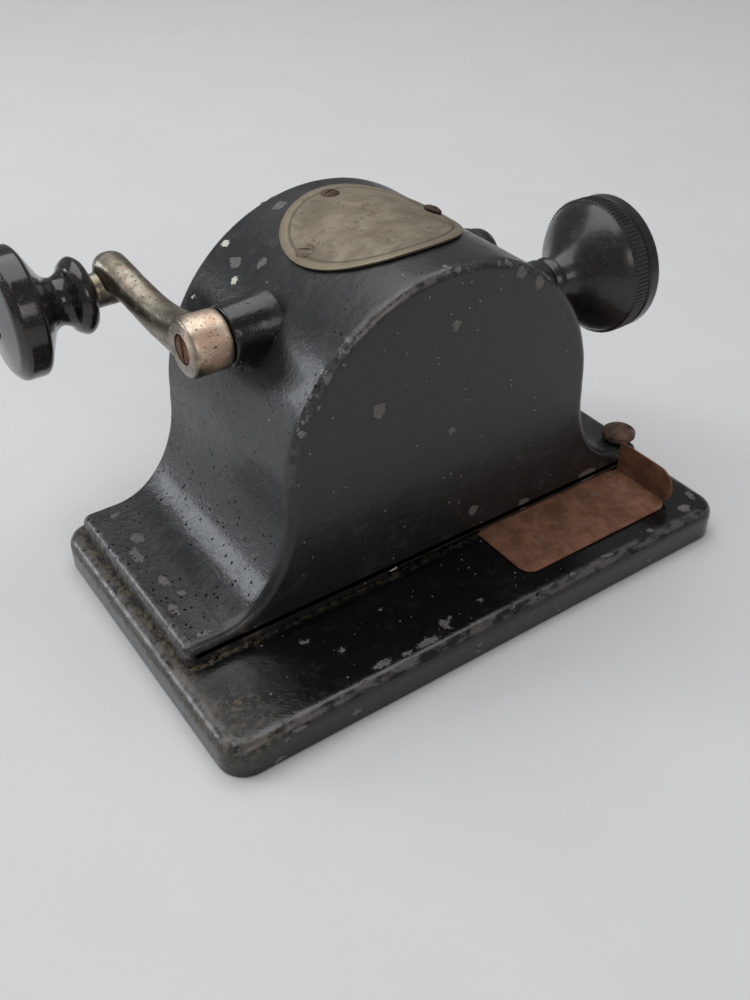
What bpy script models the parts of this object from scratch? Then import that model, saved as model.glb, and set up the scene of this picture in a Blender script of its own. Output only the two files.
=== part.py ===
"""Hand-crank key duplicating machine, as separate pieces at real size.

World frame: +Z up, origin at the centre of the base plate's underside.
X runs along the base and every shaft is parallel to it. Left is -X, the crank
side; right is +X, the feed knob side. Front is +Y, the open working side of
the housing; back is -Y, its closed wall.
Dimensions are millimetres; meshes are written in metres.
"""

import math

import bmesh
import bpy
from mathutils import Vector

MM = 0.001
GAP = 0.3                     # air left between two separate pieces

# ---------------------------------------------------------------- base plate
BASE_L = 203.0
BASE_W = 124.0
BASE_H = 12.6
BASE_CORNER_R = 9.0
BASE_EDGE_R = 4.2
BASE_CHAMFER = 0.8            # around the underside

# ------------------------------------------------------------------- housing
HOUSING_BACK_Y = -24.75
HOUSING_FRONT_Y = 54.7
FOOT_BOTTOM_Z = BASE_H + GAP
FOOT_TOP_Z = 20.3
FOOT_HALF_L = 95.5
FOOT_EDGE_R = 3.2
ARCH_X = 2.2
ARCH_Z = 58.9
ARCH_R = 59.3
WALL_T = 5.0
BACK_WALL_T = 4.45
FLARE_A = 25.0                # horizontal reach of the concave flare
FLARE_DRAFT = 0.3
FLARE_TOP_Z = 56.2
BACK_EDGE_R = 3.0
FRONT_CHAMFER = 1.5
SPINDLE_BOSS_END_X = 58.4
FEED_BOSS_END_X = 57.7
SLOT_X0 = -21.5               # left end of the slot under the back wall

# ----------------------------------------------------- shaft centres, (y, z)
CRANK_YZ = (14.1, 96.0)
SPINDLE_YZ = (35.4, 84.4)
FEED_YZ = (-2.0, 88.0)
GUIDE_YZ = (-2.0, 48.0)

# --------------------------------------------------------------- shaft radii
CRANK_SHAFT_R = 4.0
SPINDLE_R = 4.0
SPINDLE_NECK_R = 2.5          # thinner left part of the spindle
FEED_R = 3.5
FEED_NECK_R = 2.6             # left end of the feed screw
GUIDE_R = 4.0
STUD_R = 2.3                  # where the idler gears turn
STUD_SHANK_R = 3.0            # where the stud sits in the housing
HANDLE_PIN_R = 3.0
CLAMP_SCREW_R = 2.5
GUIDE_BORE_R = GUIDE_R + GAP

# --------------------------------------------------------- bush outer radii
CRANK_BUSH_R = 6.5
SPINDLE_BUSH_LEFT_R = 6.0
SPINDLE_BUSH_RIGHT_R = 6.5
FEED_BUSH_LEFT_R = 4.5
FEED_BUSH_RIGHT_R = 5.7

# --------------------------------------------------------------------- gears
MODULE = 0.8
CRANK_TEETH = 24
PINION_TEETH = 12
IDLER_TEETH = 32
PRESSURE_ANGLE = math.radians(20)
ADDENDUM = 0.78               # in modules
DEDENDUM = 1.05               # in modules
BACKLASH = 0.16
MESH_CLEARANCE = 0.02         # added to each centre distance
GEAR_W = 5.0
CRANK_GEAR_X = -20.5
IDLER_GEAR_X = -13.5


def angle_between(start, end):
    return math.atan2(end[1] - start[1], end[0] - start[0])


def idler_centre():
    """The idler sits in mesh with both the crank gear and the spindle pinion."""
    to_crank = MODULE * (CRANK_TEETH + PINION_TEETH) / 2 + MESH_CLEARANCE
    to_spindle = MODULE * (IDLER_TEETH + PINION_TEETH) / 2 + MESH_CLEARANCE
    span = math.dist(CRANK_YZ, SPINDLE_YZ)
    cosine = (to_crank ** 2 + span ** 2 - to_spindle ** 2) / (2 * to_crank * span)
    turn = angle_between(CRANK_YZ, SPINDLE_YZ) - math.acos(cosine)
    return CRANK_YZ[0] + to_crank * math.cos(turn), CRANK_YZ[1] + to_crank * math.sin(turn)


IDLER_YZ = idler_centre()

# --------------------------------------------------------------------- crank
CRANK_RADIUS = 51.0
HUB_R = 9.3
HUB_FRONT_X = -67.8           # outer, left face of the hub
HUB_BACK_X = -55.0
ARM_END_X = -68.6
HANDLE_YZ = (CRANK_YZ[0] + CRANK_RADIUS, 95.2)

# ------------------------------------------------- carriage, vises, cutter
CARRIAGE_X = 13.0             # centre of the carriage at rest
VISE_PITCH = 44.0
VISE_HALF_W = 7.0
JAW_TOP_Z = 65.5
TABLE_Z = (42.0, 48.0)
CLAMP_Z = 57.0
KEY_Y = SPINDLE_YZ[0]
TRACER_X = CARRIAGE_X - VISE_PITCH / 2
CUTTER_X = CARRIAGE_X + VISE_PITCH / 2
VISES = {"pattern": TRACER_X, "blank": CUTTER_X}
CUTTER_R = 16.0
CUTTER_TEETH = 36
CUTTER_TOOTH_DEPTH = 1.1
CUTTER_HALF_W = 1.5
KNOB_R = 23.4

# ----------------------------------------------------------------- name plate
PLATE_S = -1.0                # arc length from the arch top to the plate centre
PLATE_Y = 17.3
PLATE_A = 29.2                # half length along the arch
PLATE_B = 28.0                # half width along Y
PLATE_T = 0.7
PLATE_TOP = GAP + PLATE_T     # height above the arch
PLATE_SCREW_R = 1.1
# label: (arc length from the arch top, y)
PLATE_SCREWS = {"left": (-25.4, 17.7), "top": (-1.5, 39.8), "right": (24.0, 18.5)}

# -------------------------------------------------------------------- screws
FOOT_SCREW_Y = {"near": -17.3, "far": 47.2}
HOLD_DOWN_X = 91.4            # screws from above, right foot
FRAME_SCREW_X = -88.0         # screws from below, left foot
FOOT_SCREW_R = 2.0
BRACKET_SCREW_Z = {"lower": 105.0, "upper": 110.6}
TRACER_PIN_R = 1.5
SET_SCREW_R = 1.2
SET_SCREW_YZ = (KEY_Y, 74.3)

# ---------------------------------------------------------------------- tray
TRAY_X = (16.9, 84.8)
TRAY_Y = (-51.5, -25.3)
TRAY_T = 0.7
TRAY_WALL_H = 13.2
TRAY_CORNER_R = 5.0
TRAY_WALL_R = 7.0


for leftover in list(bpy.data.objects):
    bpy.data.objects.remove(leftover, do_unlink=True)


# ================================================================= materials
FINISHES = {
    "black_enamel": dict(colour=(0.018, 0.018, 0.020), roughness=0.34, metallic=0.0),
    "aged_nickel": dict(colour=(0.42, 0.38, 0.32), roughness=0.38, metallic=1.0),
    "bakelite": dict(colour=(0.008, 0.008, 0.009), roughness=0.16, metallic=0.0),
    "tarnished_brass": dict(colour=(0.25, 0.22, 0.17), roughness=0.5, metallic=1.0),
    "rusty_sheet": dict(colour=(0.14, 0.055, 0.028), roughness=0.8, metallic=0.3),
    "brown_steel": dict(colour=(0.11, 0.07, 0.055), roughness=0.55, metallic=0.7),
    "bronze": dict(colour=(0.45, 0.28, 0.13), roughness=0.4, metallic=1.0),
    "machined_steel": dict(colour=(0.50, 0.50, 0.49), roughness=0.3, metallic=1.0),
    "tool_steel": dict(colour=(0.36, 0.35, 0.34), roughness=0.28, metallic=1.0),
    "spring_steel": dict(colour=(0.22, 0.21, 0.20), roughness=0.35, metallic=1.0),
}


def material(name, colour, roughness, metallic):
    mat = bpy.data.materials.new(name)
    mat.use_nodes = True
    shader = mat.node_tree.nodes["Principled BSDF"]
    shader.inputs["Base Color"].default_value = (*colour, 1.0)
    shader.inputs["Roughness"].default_value = roughness
    shader.inputs["Metallic"].default_value = metallic
    mat.diffuse_color = (*colour, 1.0)
    return mat


MATERIALS = {name: material(name, **finish) for name, finish in FINISHES.items()}


# ==================================================================== frames
AXES = {}                     # body: (empty, world point in mm)


def axis_empty(body, point, parent=None):
    """An empty on a joint axis; the pieces of that body hang from it."""
    empty = bpy.data.objects.new("axis_" + body, None)
    empty.empty_display_size = 0.01
    bpy.context.scene.collection.objects.link(empty)
    origin = Vector(point)
    if parent:
        empty.parent, parent_origin = AXES[parent]
        empty.location = (origin - parent_origin) * MM
    else:
        empty.location = origin * MM
    AXES[body] = (empty, origin)


axis_empty("base", (0, 0, 0))
axis_empty("crank", (HUB_BACK_X, *CRANK_YZ), "base")
axis_empty("crank_handle", (ARM_END_X, *HANDLE_YZ), "crank")
axis_empty("idler", (IDLER_GEAR_X, *IDLER_YZ), "base")
axis_empty("spindle", (CUTTER_X, *SPINDLE_YZ), "base")
axis_empty("feed", (57.9, *FEED_YZ), "base")
axis_empty("carriage", (CARRIAGE_X, *GUIDE_YZ), "base")
axis_empty("vise_table", (CARRIAGE_X, *GUIDE_YZ), "carriage")
for vise, vise_x in VISES.items():
    axis_empty(vise + "_jaw", (vise_x, KEY_Y, CLAMP_Z), "vise_table")
    axis_empty(vise + "_clamp", (vise_x, 55.0, CLAMP_Z), "vise_table")
axis_empty("tray", (TRAY_X[0], TRAY_Y[0], BASE_H), "base")


# =================================================================== objects
# A shape is a pair (verts, faces), with the points in world mm.
def add_mesh(name, shape, body):
    """Mesh object of a shape, hung from its body's axis empty."""
    verts, faces = shape
    empty, origin = AXES[body]
    mesh = bpy.data.meshes.new(name)
    mesh.from_pydata([(Vector(v) - origin) * MM for v in verts], [], faces)
    bm = bmesh.new()
    bm.from_mesh(mesh)
    bmesh.ops.recalc_face_normals(bm, faces=bm.faces)
    bm.to_mesh(mesh)
    bm.free()
    obj = bpy.data.objects.new(name, mesh)
    bpy.context.scene.collection.objects.link(obj)
    obj.parent = empty
    return obj


def piece(name, shape, body, finish, sharp=32):
    """Visible piece; edges over `sharp` degrees stay sharp."""
    obj = add_mesh(name, shape, body)
    obj.data.shade_smooth()
    obj.data.set_sharp_from_angle(angle=math.radians(sharp))
    obj.data.materials.append(MATERIALS[finish])
    return obj


def helper(name, shape, body):
    """Hidden operand of a boolean."""
    obj = add_mesh(name, shape, body)
    obj.hide_render = True
    obj.display_type = "WIRE"
    return obj


def boolean(obj, operand, operation):
    mod = obj.modifiers.new(operation.lower() + "_" + operand.name, "BOOLEAN")
    mod.operation = operation
    mod.object = operand
    mod.solver = "EXACT"


def cut(obj, name, *shapes):
    """Cut shapes away through one helper in the object's own body."""
    body = obj.parent.name.removeprefix("axis_")
    boolean(obj, helper(name, join_shapes(*shapes), body), "DIFFERENCE")


def fuse(obj, name, *shapes):
    """Add shapes through one helper in the object's own body."""
    body = obj.parent.name.removeprefix("axis_")
    boolean(obj, helper(name, join_shapes(*shapes), body), "UNION")


# ==================================================================== shapes
def join_shapes(*shapes):
    """Several shapes as one, kept as separate bodies."""
    verts, faces = [], []
    for shape_verts, shape_faces in shapes:
        start = len(verts)
        verts += shape_verts
        faces += [[i + start for i in face] for face in shape_faces]
    return verts, faces


def skin(rows):
    """Skin closed rows of points.

    A first and last row of one point each are poles; without them the last
    row joins back to the first.
    """
    verts, indices = [], []
    for row in rows:
        indices.append(range(len(verts), len(verts) + len(row)))
        verts += row
    pairs = list(zip(indices, indices[1:]))
    if len(rows[0]) > 1:
        pairs.append((indices[-1], indices[0]))
    count = len(rows[1])
    faces = []
    for a, b in pairs:
        for k in range(count):
            n = (k + 1) % count
            if len(a) == 1:
                faces.append([a[0], b[k], b[n]])
            elif len(b) == 1:
                faces.append([a[k], b[0], a[n]])
            else:
                faces.append([a[k], b[k], b[n], a[n]])
    return verts, faces


def turned(profile, origin, direction, steps):
    """Turn a closed (along, radius) profile about an axis.

    A profile that starts and ends at radius 0 is a solid; any other profile
    is closed on itself and leaves a bore.
    """
    axis = Vector(direction).normalized()
    reference = Vector((0, 0, 1)) if abs(axis.z) < 0.9 else Vector((1, 0, 0))
    side = axis.cross(reference).normalized()
    up = axis.cross(side).normalized()
    rows = []
    for along, radius in profile:
        centre = Vector(origin) + axis * along
        if radius == 0:
            rows.append([centre])
            continue
        angles = [2 * math.pi * k / steps for k in range(steps)]
        rows.append([centre + (side * math.cos(a) + up * math.sin(a)) * radius for a in angles])
    return skin(rows)


def along_x(profile, yz, steps=16):
    return turned(profile, (0, *yz), (1, 0, 0), steps)


def along_y(profile, xz, steps=12):
    return turned(profile, (xz[0], 0, xz[1]), (0, 1, 0), steps)


def along_z(profile, xy, steps=12):
    return turned(profile, (*xy, 0), (0, 0, 1), steps)


def stepped(start, *sections):
    """Solid profile of plain cylinders, each section being (end, radius).

    A last section that runs backwards leaves a blind hole in the end face;
    a first section that runs backwards does the same at the start.
    """
    profile = [(start, 0)]
    for end, radius in sections:
        profile += [(start, radius), (end, radius)]
        start = end
    return profile + [(start, 0)]


def sleeve(start, end, inner, outer):
    """Profile of a plain ring."""
    return [(start, inner), (start, outer), (end, outer), (end, inner)]


def rod_x(x0, x1, radius, yz, steps=16):
    return along_x(stepped(x0, (x1, radius)), yz, steps)


def rod_y(y0, y1, radius, xz, steps=12):
    return along_y(stepped(y0, (y1, radius)), xz, steps)


def rod_z(z0, z1, radius, xy, steps=12):
    return along_z(stepped(z0, (z1, radius)), xy, steps)


def loft(rings):
    """Skin equal rings of points and close both ends with flat faces."""
    n = len(rings[0])
    verts = [point for ring in rings for point in ring]
    faces = [list(range(n)), [len(verts) - n + k for k in range(n)][::-1]]
    for r in range(len(rings) - 1):
        for k in range(n):
            m = (k + 1) % n
            faces.append([r * n + m, r * n + k, (r + 1) * n + k, (r + 1) * n + m])
    return verts, faces


def prism(outline, axis, start, end):
    """Straight prism: outline is (y, z) for axis x, (x, z) for y, (x, y) for z."""
    place = {
        "x": lambda a, b, t: (t, a, b),
        "y": lambda a, b, t: (a, t, b),
        "z": lambda a, b, t: (a, b, t),
    }[axis]
    return loft([[place(a, b, t) for a, b in outline] for t in (start, end)])


def block(x0, x1, y0, y1, z0, z1):
    return prism([(x0, y0), (x1, y0), (x1, y1), (x0, y1)], "z", z0, z1)


def arc(centre_a, centre_b, radius, start, end, steps):
    """Points on an arc between two angles in degrees."""
    angles = [math.radians(start + (end - start) * k / steps) for k in range(steps + 1)]
    return [(centre_a + radius * math.cos(a), centre_b + radius * math.sin(a)) for a in angles]


def rounded_rect(x0, x1, y0, y1, r, steps):
    return (
        arc(x0 + r, y0 + r, r, 180, 270, steps) + arc(x1 - r, y0 + r, r, 270, 360, steps)
        + arc(x1 - r, y1 - r, r, 0, 90, steps) + arc(x0 + r, y1 - r, r, 90, 180, steps)
    )


# ================================================================ base plate
def foot_screw_places(x):
    return [(x, y) for y in FOOT_SCREW_Y.values()]


def base_plate():
    def ring(inset, z):
        half_l, half_w = BASE_L / 2 - inset, BASE_W / 2 - inset
        corner_r = BASE_CORNER_R - inset
        return [(x, y, z) for x, y in rounded_rect(-half_l, half_l, -half_w, half_w, corner_r, 5)]

    rings = [ring(BASE_CHAMFER, 0.0), ring(0.0, BASE_CHAMFER)]
    for k in range(4):
        a = math.radians(90 * k / 3)
        rings.append(ring(BASE_EDGE_R * (1 - math.cos(a)),
                          BASE_H - BASE_EDGE_R + BASE_EDGE_R * math.sin(a)))
    plate = piece("base_plate", loft(rings), "base", "black_enamel")
    # Blind holes on the right; counterbored from below on the left.
    counterbored = stepped(-3, (4.4, 5.2), (30, 2.4))
    cut(plate, "base_hole_tools",
        *[rod_z(3.0, 30.0, FOOT_SCREW_R + GAP, xy) for xy in foot_screw_places(HOLD_DOWN_X)],
        *[along_z(counterbored, xy) for xy in foot_screw_places(FRAME_SCREW_X)])


# =================================================================== housing
# (x, radius) profiles of the bosses that stand out of the end walls
CRANK_BOSS = [(-54.6, 0), (-54.6, 9.0), (-53.9, 9.6), (-49, 9.8), (-43, 10.4), (-38, 11.0),
              (-38, 0)]
FEED_BOSS = [(46, 0), (46, 8.4), (56.8, 8.4), (FEED_BOSS_END_X, 7.8), (FEED_BOSS_END_X, 0)]
SPINDLE_BOSS = [(44, 0), (44, 9.6), (57.6, 9.6), (SPINDLE_BOSS_END_X, 8.9),
                (SPINDLE_BOSS_END_X, 0)]

# bosses left standing inside: x start, x end, radius, (y, z)
INNER_BOSSES = (
    (-60, -30.0, 8.0, CRANK_YZ),
    (-60, -24.0, 5.4, IDLER_YZ),
    (-60, -38.0, 7.6, SPINDLE_YZ),
    (-60, -36.5, 6.6, FEED_YZ),
    (-60, -47.0, 7.6, GUIDE_YZ),
    (38.5, 70, 8.4, SPINDLE_YZ),
    (38.5, 70, 8.4, FEED_YZ),
    (50.0, 70, 7.6, GUIDE_YZ),
)

# plain bores along X: x start, x end, radius, (y, z)
HOUSING_BORES = (
    (-60, -22, CRANK_BUSH_R + GAP, CRANK_YZ),
    (-45.8, -20, STUD_SHANK_R + GAP, IDLER_YZ),
    (-46.0, -34, SPINDLE_BUSH_LEFT_R + GAP, SPINDLE_YZ),
    (-43.3, -32, FEED_BUSH_LEFT_R + GAP, FEED_YZ),
    (-55.2, -44, GUIDE_BORE_R, GUIDE_YZ),
    (46, 90, GUIDE_BORE_R, GUIDE_YZ),
)


def convex(centre_x, centre_z, radius, start, end, steps):
    """Arc as (x, z, normal x, normal z), its normals pointing at the centre."""
    points = arc(centre_x, centre_z, radius, start, end, steps)
    return [(x, z, (centre_x - x) / radius, (centre_z - z) / radius) for x, z in points]


def housing_outline():
    """Back view of the casting, (x, z, normal x, normal z), normals into the iron."""
    flare_h = FLARE_TOP_Z - FOOT_TOP_Z
    reach = ARCH_R + FLARE_DRAFT + FLARE_A
    flare = []                # from the foot up, x as a distance from the arch centre
    for k in range(8):
        a = math.radians(90 - 90 * k / 7)
        normal = Vector((math.cos(a) / FLARE_A, math.sin(a) / flare_h)).normalized()
        flare.append((reach - FLARE_A * math.cos(a), FLARE_TOP_Z - flare_h * math.sin(a),
                      normal.x, normal.y))
    corner_x = FOOT_HALF_L - FOOT_EDGE_R
    corner_z = FOOT_TOP_Z - FOOT_EDGE_R
    return (
        [(-FOOT_HALF_L, FOOT_BOTTOM_Z, 1.0, 0.0)]
        + convex(-corner_x, corner_z, FOOT_EDGE_R, 180, 90, 3)
        + [(ARCH_X - x, z, nx, -nz) for x, z, nx, nz in flare]
        + convex(ARCH_X, ARCH_Z, ARCH_R, 180, 0, 28)
        + [(ARCH_X + x, z, -nx, -nz) for x, z, nx, nz in reversed(flare)]
        + convex(corner_x, corner_z, FOOT_EDGE_R, 90, 0, 3)
        + [(FOOT_HALF_L, FOOT_BOTTOM_Z, -1.0, 0.0)]
    )


def arch_point(s, y, lift):
    """A point above the arch at arc length s from its top."""
    a = s / ARCH_R
    radius = ARCH_R + lift
    return Vector((ARCH_X + radius * math.sin(a), y, ARCH_Z + radius * math.cos(a)))


def on_arch(profile, s, y, steps):
    """Turn a profile about the arch's normal at a place on its surface."""
    a = s / ARCH_R
    return turned(profile, arch_point(s, y, 0), (math.sin(a), 0, math.cos(a)), steps)


def housing_core():
    """The inner cavity, open at the front and below, less the inner bosses."""
    inner_r = ARCH_R - WALL_T
    outline = ([(ARCH_X - inner_r, 2.0)] + arc(ARCH_X, ARCH_Z, inner_r, 180, 0, 24)
               + [(ARCH_X + inner_r, 2.0)])
    core = helper("housing_core", prism(outline, "y", HOUSING_BACK_Y + BACK_WALL_T, 62.0), "base")
    bracket_pad = block(-20, 2, 44.0, 70.0, 101.5, 125.0)
    cut(core, "housing_inner_bosses", *[rod_x(*boss) for boss in INNER_BOSSES], bracket_pad)
    return core


def housing_bores():
    """Every hole cut through the finished shell."""
    def right_bore(bush_r, boss_end, clear_r, yz):
        """Bush hole that widens to clear the outside of its boss."""
        return along_x(stepped(34, (boss_end, bush_r + GAP), (75, clear_r)), yz)

    bores = [rod_x(*bore) for bore in HOUSING_BORES]
    bores += [
        right_bore(SPINDLE_BUSH_RIGHT_R, SPINDLE_BOSS_END_X, 9.4, SPINDLE_YZ),
        right_bore(FEED_BUSH_RIGHT_R, FEED_BOSS_END_X, 9.0, FEED_YZ),
        block(SLOT_X0, 120, -40, HOUSING_BACK_Y + 4.75, 2.0, FOOT_BOTTOM_Z + 1.4),
    ]
    bores += [rod_y(46.0, 70.0, 1.8, (TRACER_X, z), 10) for z in BRACKET_SCREW_Z.values()]
    bores += [rod_z(2.0, 40.0, 2.4, xy) for xy in foot_screw_places(HOLD_DOWN_X)]
    bores += [rod_z(2.0, 18.0, FOOT_SCREW_R + GAP, xy) for xy in foot_screw_places(FRAME_SCREW_X)]
    plate_screw_hole = stepped(-9, (6, PLATE_SCREW_R + GAP))
    bores += [on_arch(plate_screw_hole, s, y, 8) for s, y in PLATE_SCREWS.values()]
    return bores


def housing():
    outline = housing_outline()

    def ring(inset, y):
        return [(x + nx * inset, y, z + nz * inset) for x, z, nx, nz in outline]

    rings = []
    for k in range(3):
        a = math.radians(90 * k / 2)
        rings.append(ring(BACK_EDGE_R * (1 - math.sin(a)),
                          HOUSING_BACK_Y + BACK_EDGE_R * (1 - math.cos(a))))
    rings.append(ring(0.0, HOUSING_FRONT_Y - FRONT_CHAMFER))
    rings.append(ring(FRONT_CHAMFER, HOUSING_FRONT_Y))
    shell = piece("housing", loft(rings), "base", "black_enamel")
    fuse(shell, "housing_bosses", along_x(CRANK_BOSS, CRANK_YZ, 24),
         along_x(FEED_BOSS, FEED_YZ, 20), along_x(SPINDLE_BOSS, SPINDLE_YZ, 16))
    boolean(shell, housing_core(), "DIFFERENCE")
    cut(shell, "housing_bore_tools", *housing_bores())


# ================================================================ name plate
# section from the middle of the underside, over the raised rim, to the middle
# of the top: share of the plate's half size, height above the arch
PLATE_SECTION = (
    (0.0, GAP), (0.3, GAP), (0.55, GAP), (0.78, GAP), (1.0, GAP),
    (1.0, PLATE_TOP), (0.93, PLATE_TOP + 0.25), (0.86, PLATE_TOP),
    (0.6, PLATE_TOP), (0.3, PLATE_TOP), (0.0, PLATE_TOP),
)


def name_plate():
    """Oval plate bent to the arch."""
    sides = 28
    rows = []
    for share, lift in PLATE_SECTION:
        row = []
        for k in range(sides if share else 1):
            a = 2 * math.pi * k / sides
            row.append(arch_point(PLATE_S + PLATE_A * share * math.cos(a),
                                  PLATE_Y + PLATE_B * share * math.sin(a), lift))
        rows.append(row)
    plate = piece("nameplate", skin(rows), "base", "tarnished_brass")
    cut(plate, "nameplate_hole_tools",
        *[on_arch(stepped(-4, (6, 1.6)), s, y, 8) for s, y in PLATE_SCREWS.values()])


def name_plate_screws():
    seat = PLATE_TOP + GAP
    profile = [(-6.0, 0), (-6.0, PLATE_SCREW_R), (seat, PLATE_SCREW_R), (seat, 3.1),
               (seat + 0.5, 3.1), (seat + 1.2, 2.2), (seat + 1.5, 0)]
    for label, (s, y) in PLATE_SCREWS.items():
        piece("nameplate_screw_" + label, on_arch(profile, s, y, 12), "base", "brown_steel")


# =============================================================== foot screws
# (z, radius)
HOLD_DOWN_PROFILE = [(3.4, 0), (3.4, FOOT_SCREW_R), (21.3, FOOT_SCREW_R), (21.3, 5.6),
                     (21.9, 6.2), (23.8, 6.2), (24.4, 5.4), (24.5, 0)]
FRAME_SCREW_PROFILE = stepped(0.6, (3.9, 4.8), (17.4, FOOT_SCREW_R))


def foot_screws():
    for label, y in FOOT_SCREW_Y.items():
        piece("holddown_screw_" + label, along_z(HOLD_DOWN_PROFILE, (HOLD_DOWN_X, y), 16),
              "base", "brown_steel")
        piece("frame_screw_" + label, along_z(FRAME_SCREW_PROFILE, (FRAME_SCREW_X, y)),
              "base", "machined_steel")


# ========================================================== fixed shaft parts
# name: x start, x end, shaft radius, outer radius, (y, z)
BUSHES = {
    "crank_bushing": (-54.5, -30.0, CRANK_SHAFT_R, CRANK_BUSH_R, CRANK_YZ),
    "spindle_bushing_left": (-45.6, -37.7, SPINDLE_NECK_R, SPINDLE_BUSH_LEFT_R, SPINDLE_YZ),
    "spindle_bushing_right": (38.3, 57.0, SPINDLE_R, SPINDLE_BUSH_RIGHT_R, SPINDLE_YZ),
    "feed_bushing_right": (38.3, 57.6, FEED_R, FEED_BUSH_RIGHT_R, FEED_YZ),
    "feed_bushing_left": (-43.0, -36.2, FEED_NECK_R, FEED_BUSH_LEFT_R, FEED_YZ),
}


def bushes():
    for name, (x0, x1, shaft_r, outer_r, yz) in BUSHES.items():
        piece(name, along_x(sleeve(x0, x1, shaft_r + GAP, outer_r), yz), "base", "bronze")


def spindle_cap():
    """Domed cap over the right end of the spindle."""
    cap_r, rim_x, dome_h = 8.8, 61.0, 6.2
    profile = [(58.75, 0), (58.75, cap_r), (rim_x, cap_r)]
    for a in map(math.radians, (22, 45, 68)):
        profile.append((rim_x + dome_h * math.sin(a), cap_r * math.cos(a)))
    profile.append((rim_x + dome_h, 0))
    piece("spindle_cap", along_x(profile, SPINDLE_YZ, 20), "base", "black_enamel")


def idler_stud():
    profile = stepped(-45.3, (-23.7, STUD_SHANK_R), (-21.2, 4.6), (-8.2, STUD_R), (-6.8, 4.2))
    piece("idler_stud", along_x(profile, IDLER_YZ, 12), "base", "machined_steel")


def guide_rod():
    piece("guide_rod", rod_x(-54.8, 60.6, GUIDE_R, GUIDE_YZ), "base", "machined_steel")


# ====================================================================== gears
def gear_outline(teeth, phase, centre):
    """Spur gear in (y, z), its flanks straight between root and tip of the involute."""
    pitch_r = MODULE * teeth / 2
    base_r = pitch_r * math.cos(PRESSURE_ANGLE)
    tip_r = pitch_r + ADDENDUM * MODULE
    root_r = pitch_r - DEDENDUM * MODULE
    pitch_involute = math.tan(PRESSURE_ANGLE) - PRESSURE_ANGLE

    def half_angle(radius):
        a = math.acos(base_r / radius)
        pitch_half = math.pi / (2 * teeth) - BACKLASH / (2 * pitch_r)
        return pitch_half + pitch_involute - (math.tan(a) - a)

    root_half = half_angle(max(base_r, root_r)) * 1.02      # slightly wider root
    tip_half = half_angle(tip_r)
    tooth = ((root_r, -root_half), (tip_r, -tip_half), (tip_r, tip_half), (root_r, root_half))
    points = []
    for t in range(teeth):
        middle = phase + 2 * math.pi * t / teeth
        for radius, offset in tooth:
            points.append((centre[0] + radius * math.cos(middle + offset),
                           centre[1] + radius * math.sin(middle + offset)))
    return points


def gear(name, body, teeth, phase, centre, x0, x1, shaft_r, finish):
    """Gear blank with a plain bore."""
    blank = piece(name, prism(gear_outline(teeth, phase, centre), "x", x0, x1),
                  body, finish, sharp=25)
    cut(blank, name + "_bore", rod_x(x0 - 2, x1 + 2, shaft_r + GAP, centre))


def gears():
    to_idler = angle_between(CRANK_YZ, IDLER_YZ)
    to_spindle = angle_between(IDLER_YZ, SPINDLE_YZ)
    # Turns a pinion so that a tooth space faces the tooth that drives it.
    opposite_space = math.pi + math.pi / PINION_TEETH
    gear("crank_gear", "crank", CRANK_TEETH, to_idler, CRANK_YZ,
         CRANK_GEAR_X, CRANK_GEAR_X + GEAR_W, CRANK_SHAFT_R, "machined_steel")
    gear("idler_pinion", "idler", PINION_TEETH, to_idler + opposite_space, IDLER_YZ,
         CRANK_GEAR_X, IDLER_GEAR_X - GAP, STUD_R, "machined_steel")
    gear("idler_gear", "idler", IDLER_TEETH, to_spindle, IDLER_YZ,
         IDLER_GEAR_X, IDLER_GEAR_X + GEAR_W, STUD_R, "bronze")
    gear("spindle_pinion", "spindle", PINION_TEETH, to_spindle + opposite_space, SPINDLE_YZ,
         IDLER_GEAR_X, IDLER_GEAR_X + GEAR_W, SPINDLE_NECK_R, "machined_steel")


# ====================================================================== crank
# share of the radius, centre x, height above the hub axis, half width in x, half height
ARM_PATH = (
    (0.00, -61.8, -0.5, 5.9, 8.6),
    (0.16, -61.9, -1.5, 5.8, 8.0),
    (0.32, -62.5, -1.7, 5.7, 6.6),
    (0.50, -63.6, -0.7, 5.5, 5.7),
    (0.70, -64.9, 1.9, 5.3, 5.3),
    (0.88, -65.8, 3.7, 5.5, 5.7),
    (1.02, -66.2, 4.3, 5.9, 5.8),
)
ARM_START = 0.06              # share of the radius, inside the hub
ARM_STATIONS = 8
ARM_SIDES = 14
ARM_TIP_L = 6.4               # length of the rounded far end

# (x, radius)
HUB_PROFILE = [
    (HUB_FRONT_X, 0), (HUB_FRONT_X, HUB_R - 0.7), (HUB_FRONT_X + 0.7, HUB_R),
    (HUB_BACK_X - 0.6, HUB_R), (HUB_BACK_X, HUB_R - 0.6), (HUB_BACK_X, 0),
]
ARM_END_PROFILE = [
    (ARM_END_X - 6.2, 0), (ARM_END_X - 6.2, 5.0), (ARM_END_X - 5.6, 5.6),
    (ARM_END_X + 4.6, 5.6), (ARM_END_X + 6.0, 4.4), (ARM_END_X + 6.0, 0),
]
PIN_START_X = ARM_END_X + 4.1
HANDLE_PIN_PROFILE = [
    (PIN_START_X, 0), (PIN_START_X, HANDLE_PIN_R), (-103.2, HANDLE_PIN_R), (-103.2, 5.6),
    (-104.8, 5.6), (-105.4, 4.4), (-105.4, 0),
]
HANDLE_BORE_R = HANDLE_PIN_R + GAP
HANDLE_PROFILE = [
    (-75.1, HANDLE_BORE_R), (-75.1, 7.0), (-76.4, 11.2), (-79.0, 12.5), (-81.8, 11.2),
    (-83.4, 8.8), (-86.4, 7.8), (-89.6, 9.6), (-92.6, 14.8), (-95.2, 19.8), (-96.4, 20.9),
    (-102.6, 20.9), (-104.9, 18.2), (-106.4, 6.3), (-102.8, 6.3), (-102.8, HANDLE_BORE_R),
]


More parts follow.
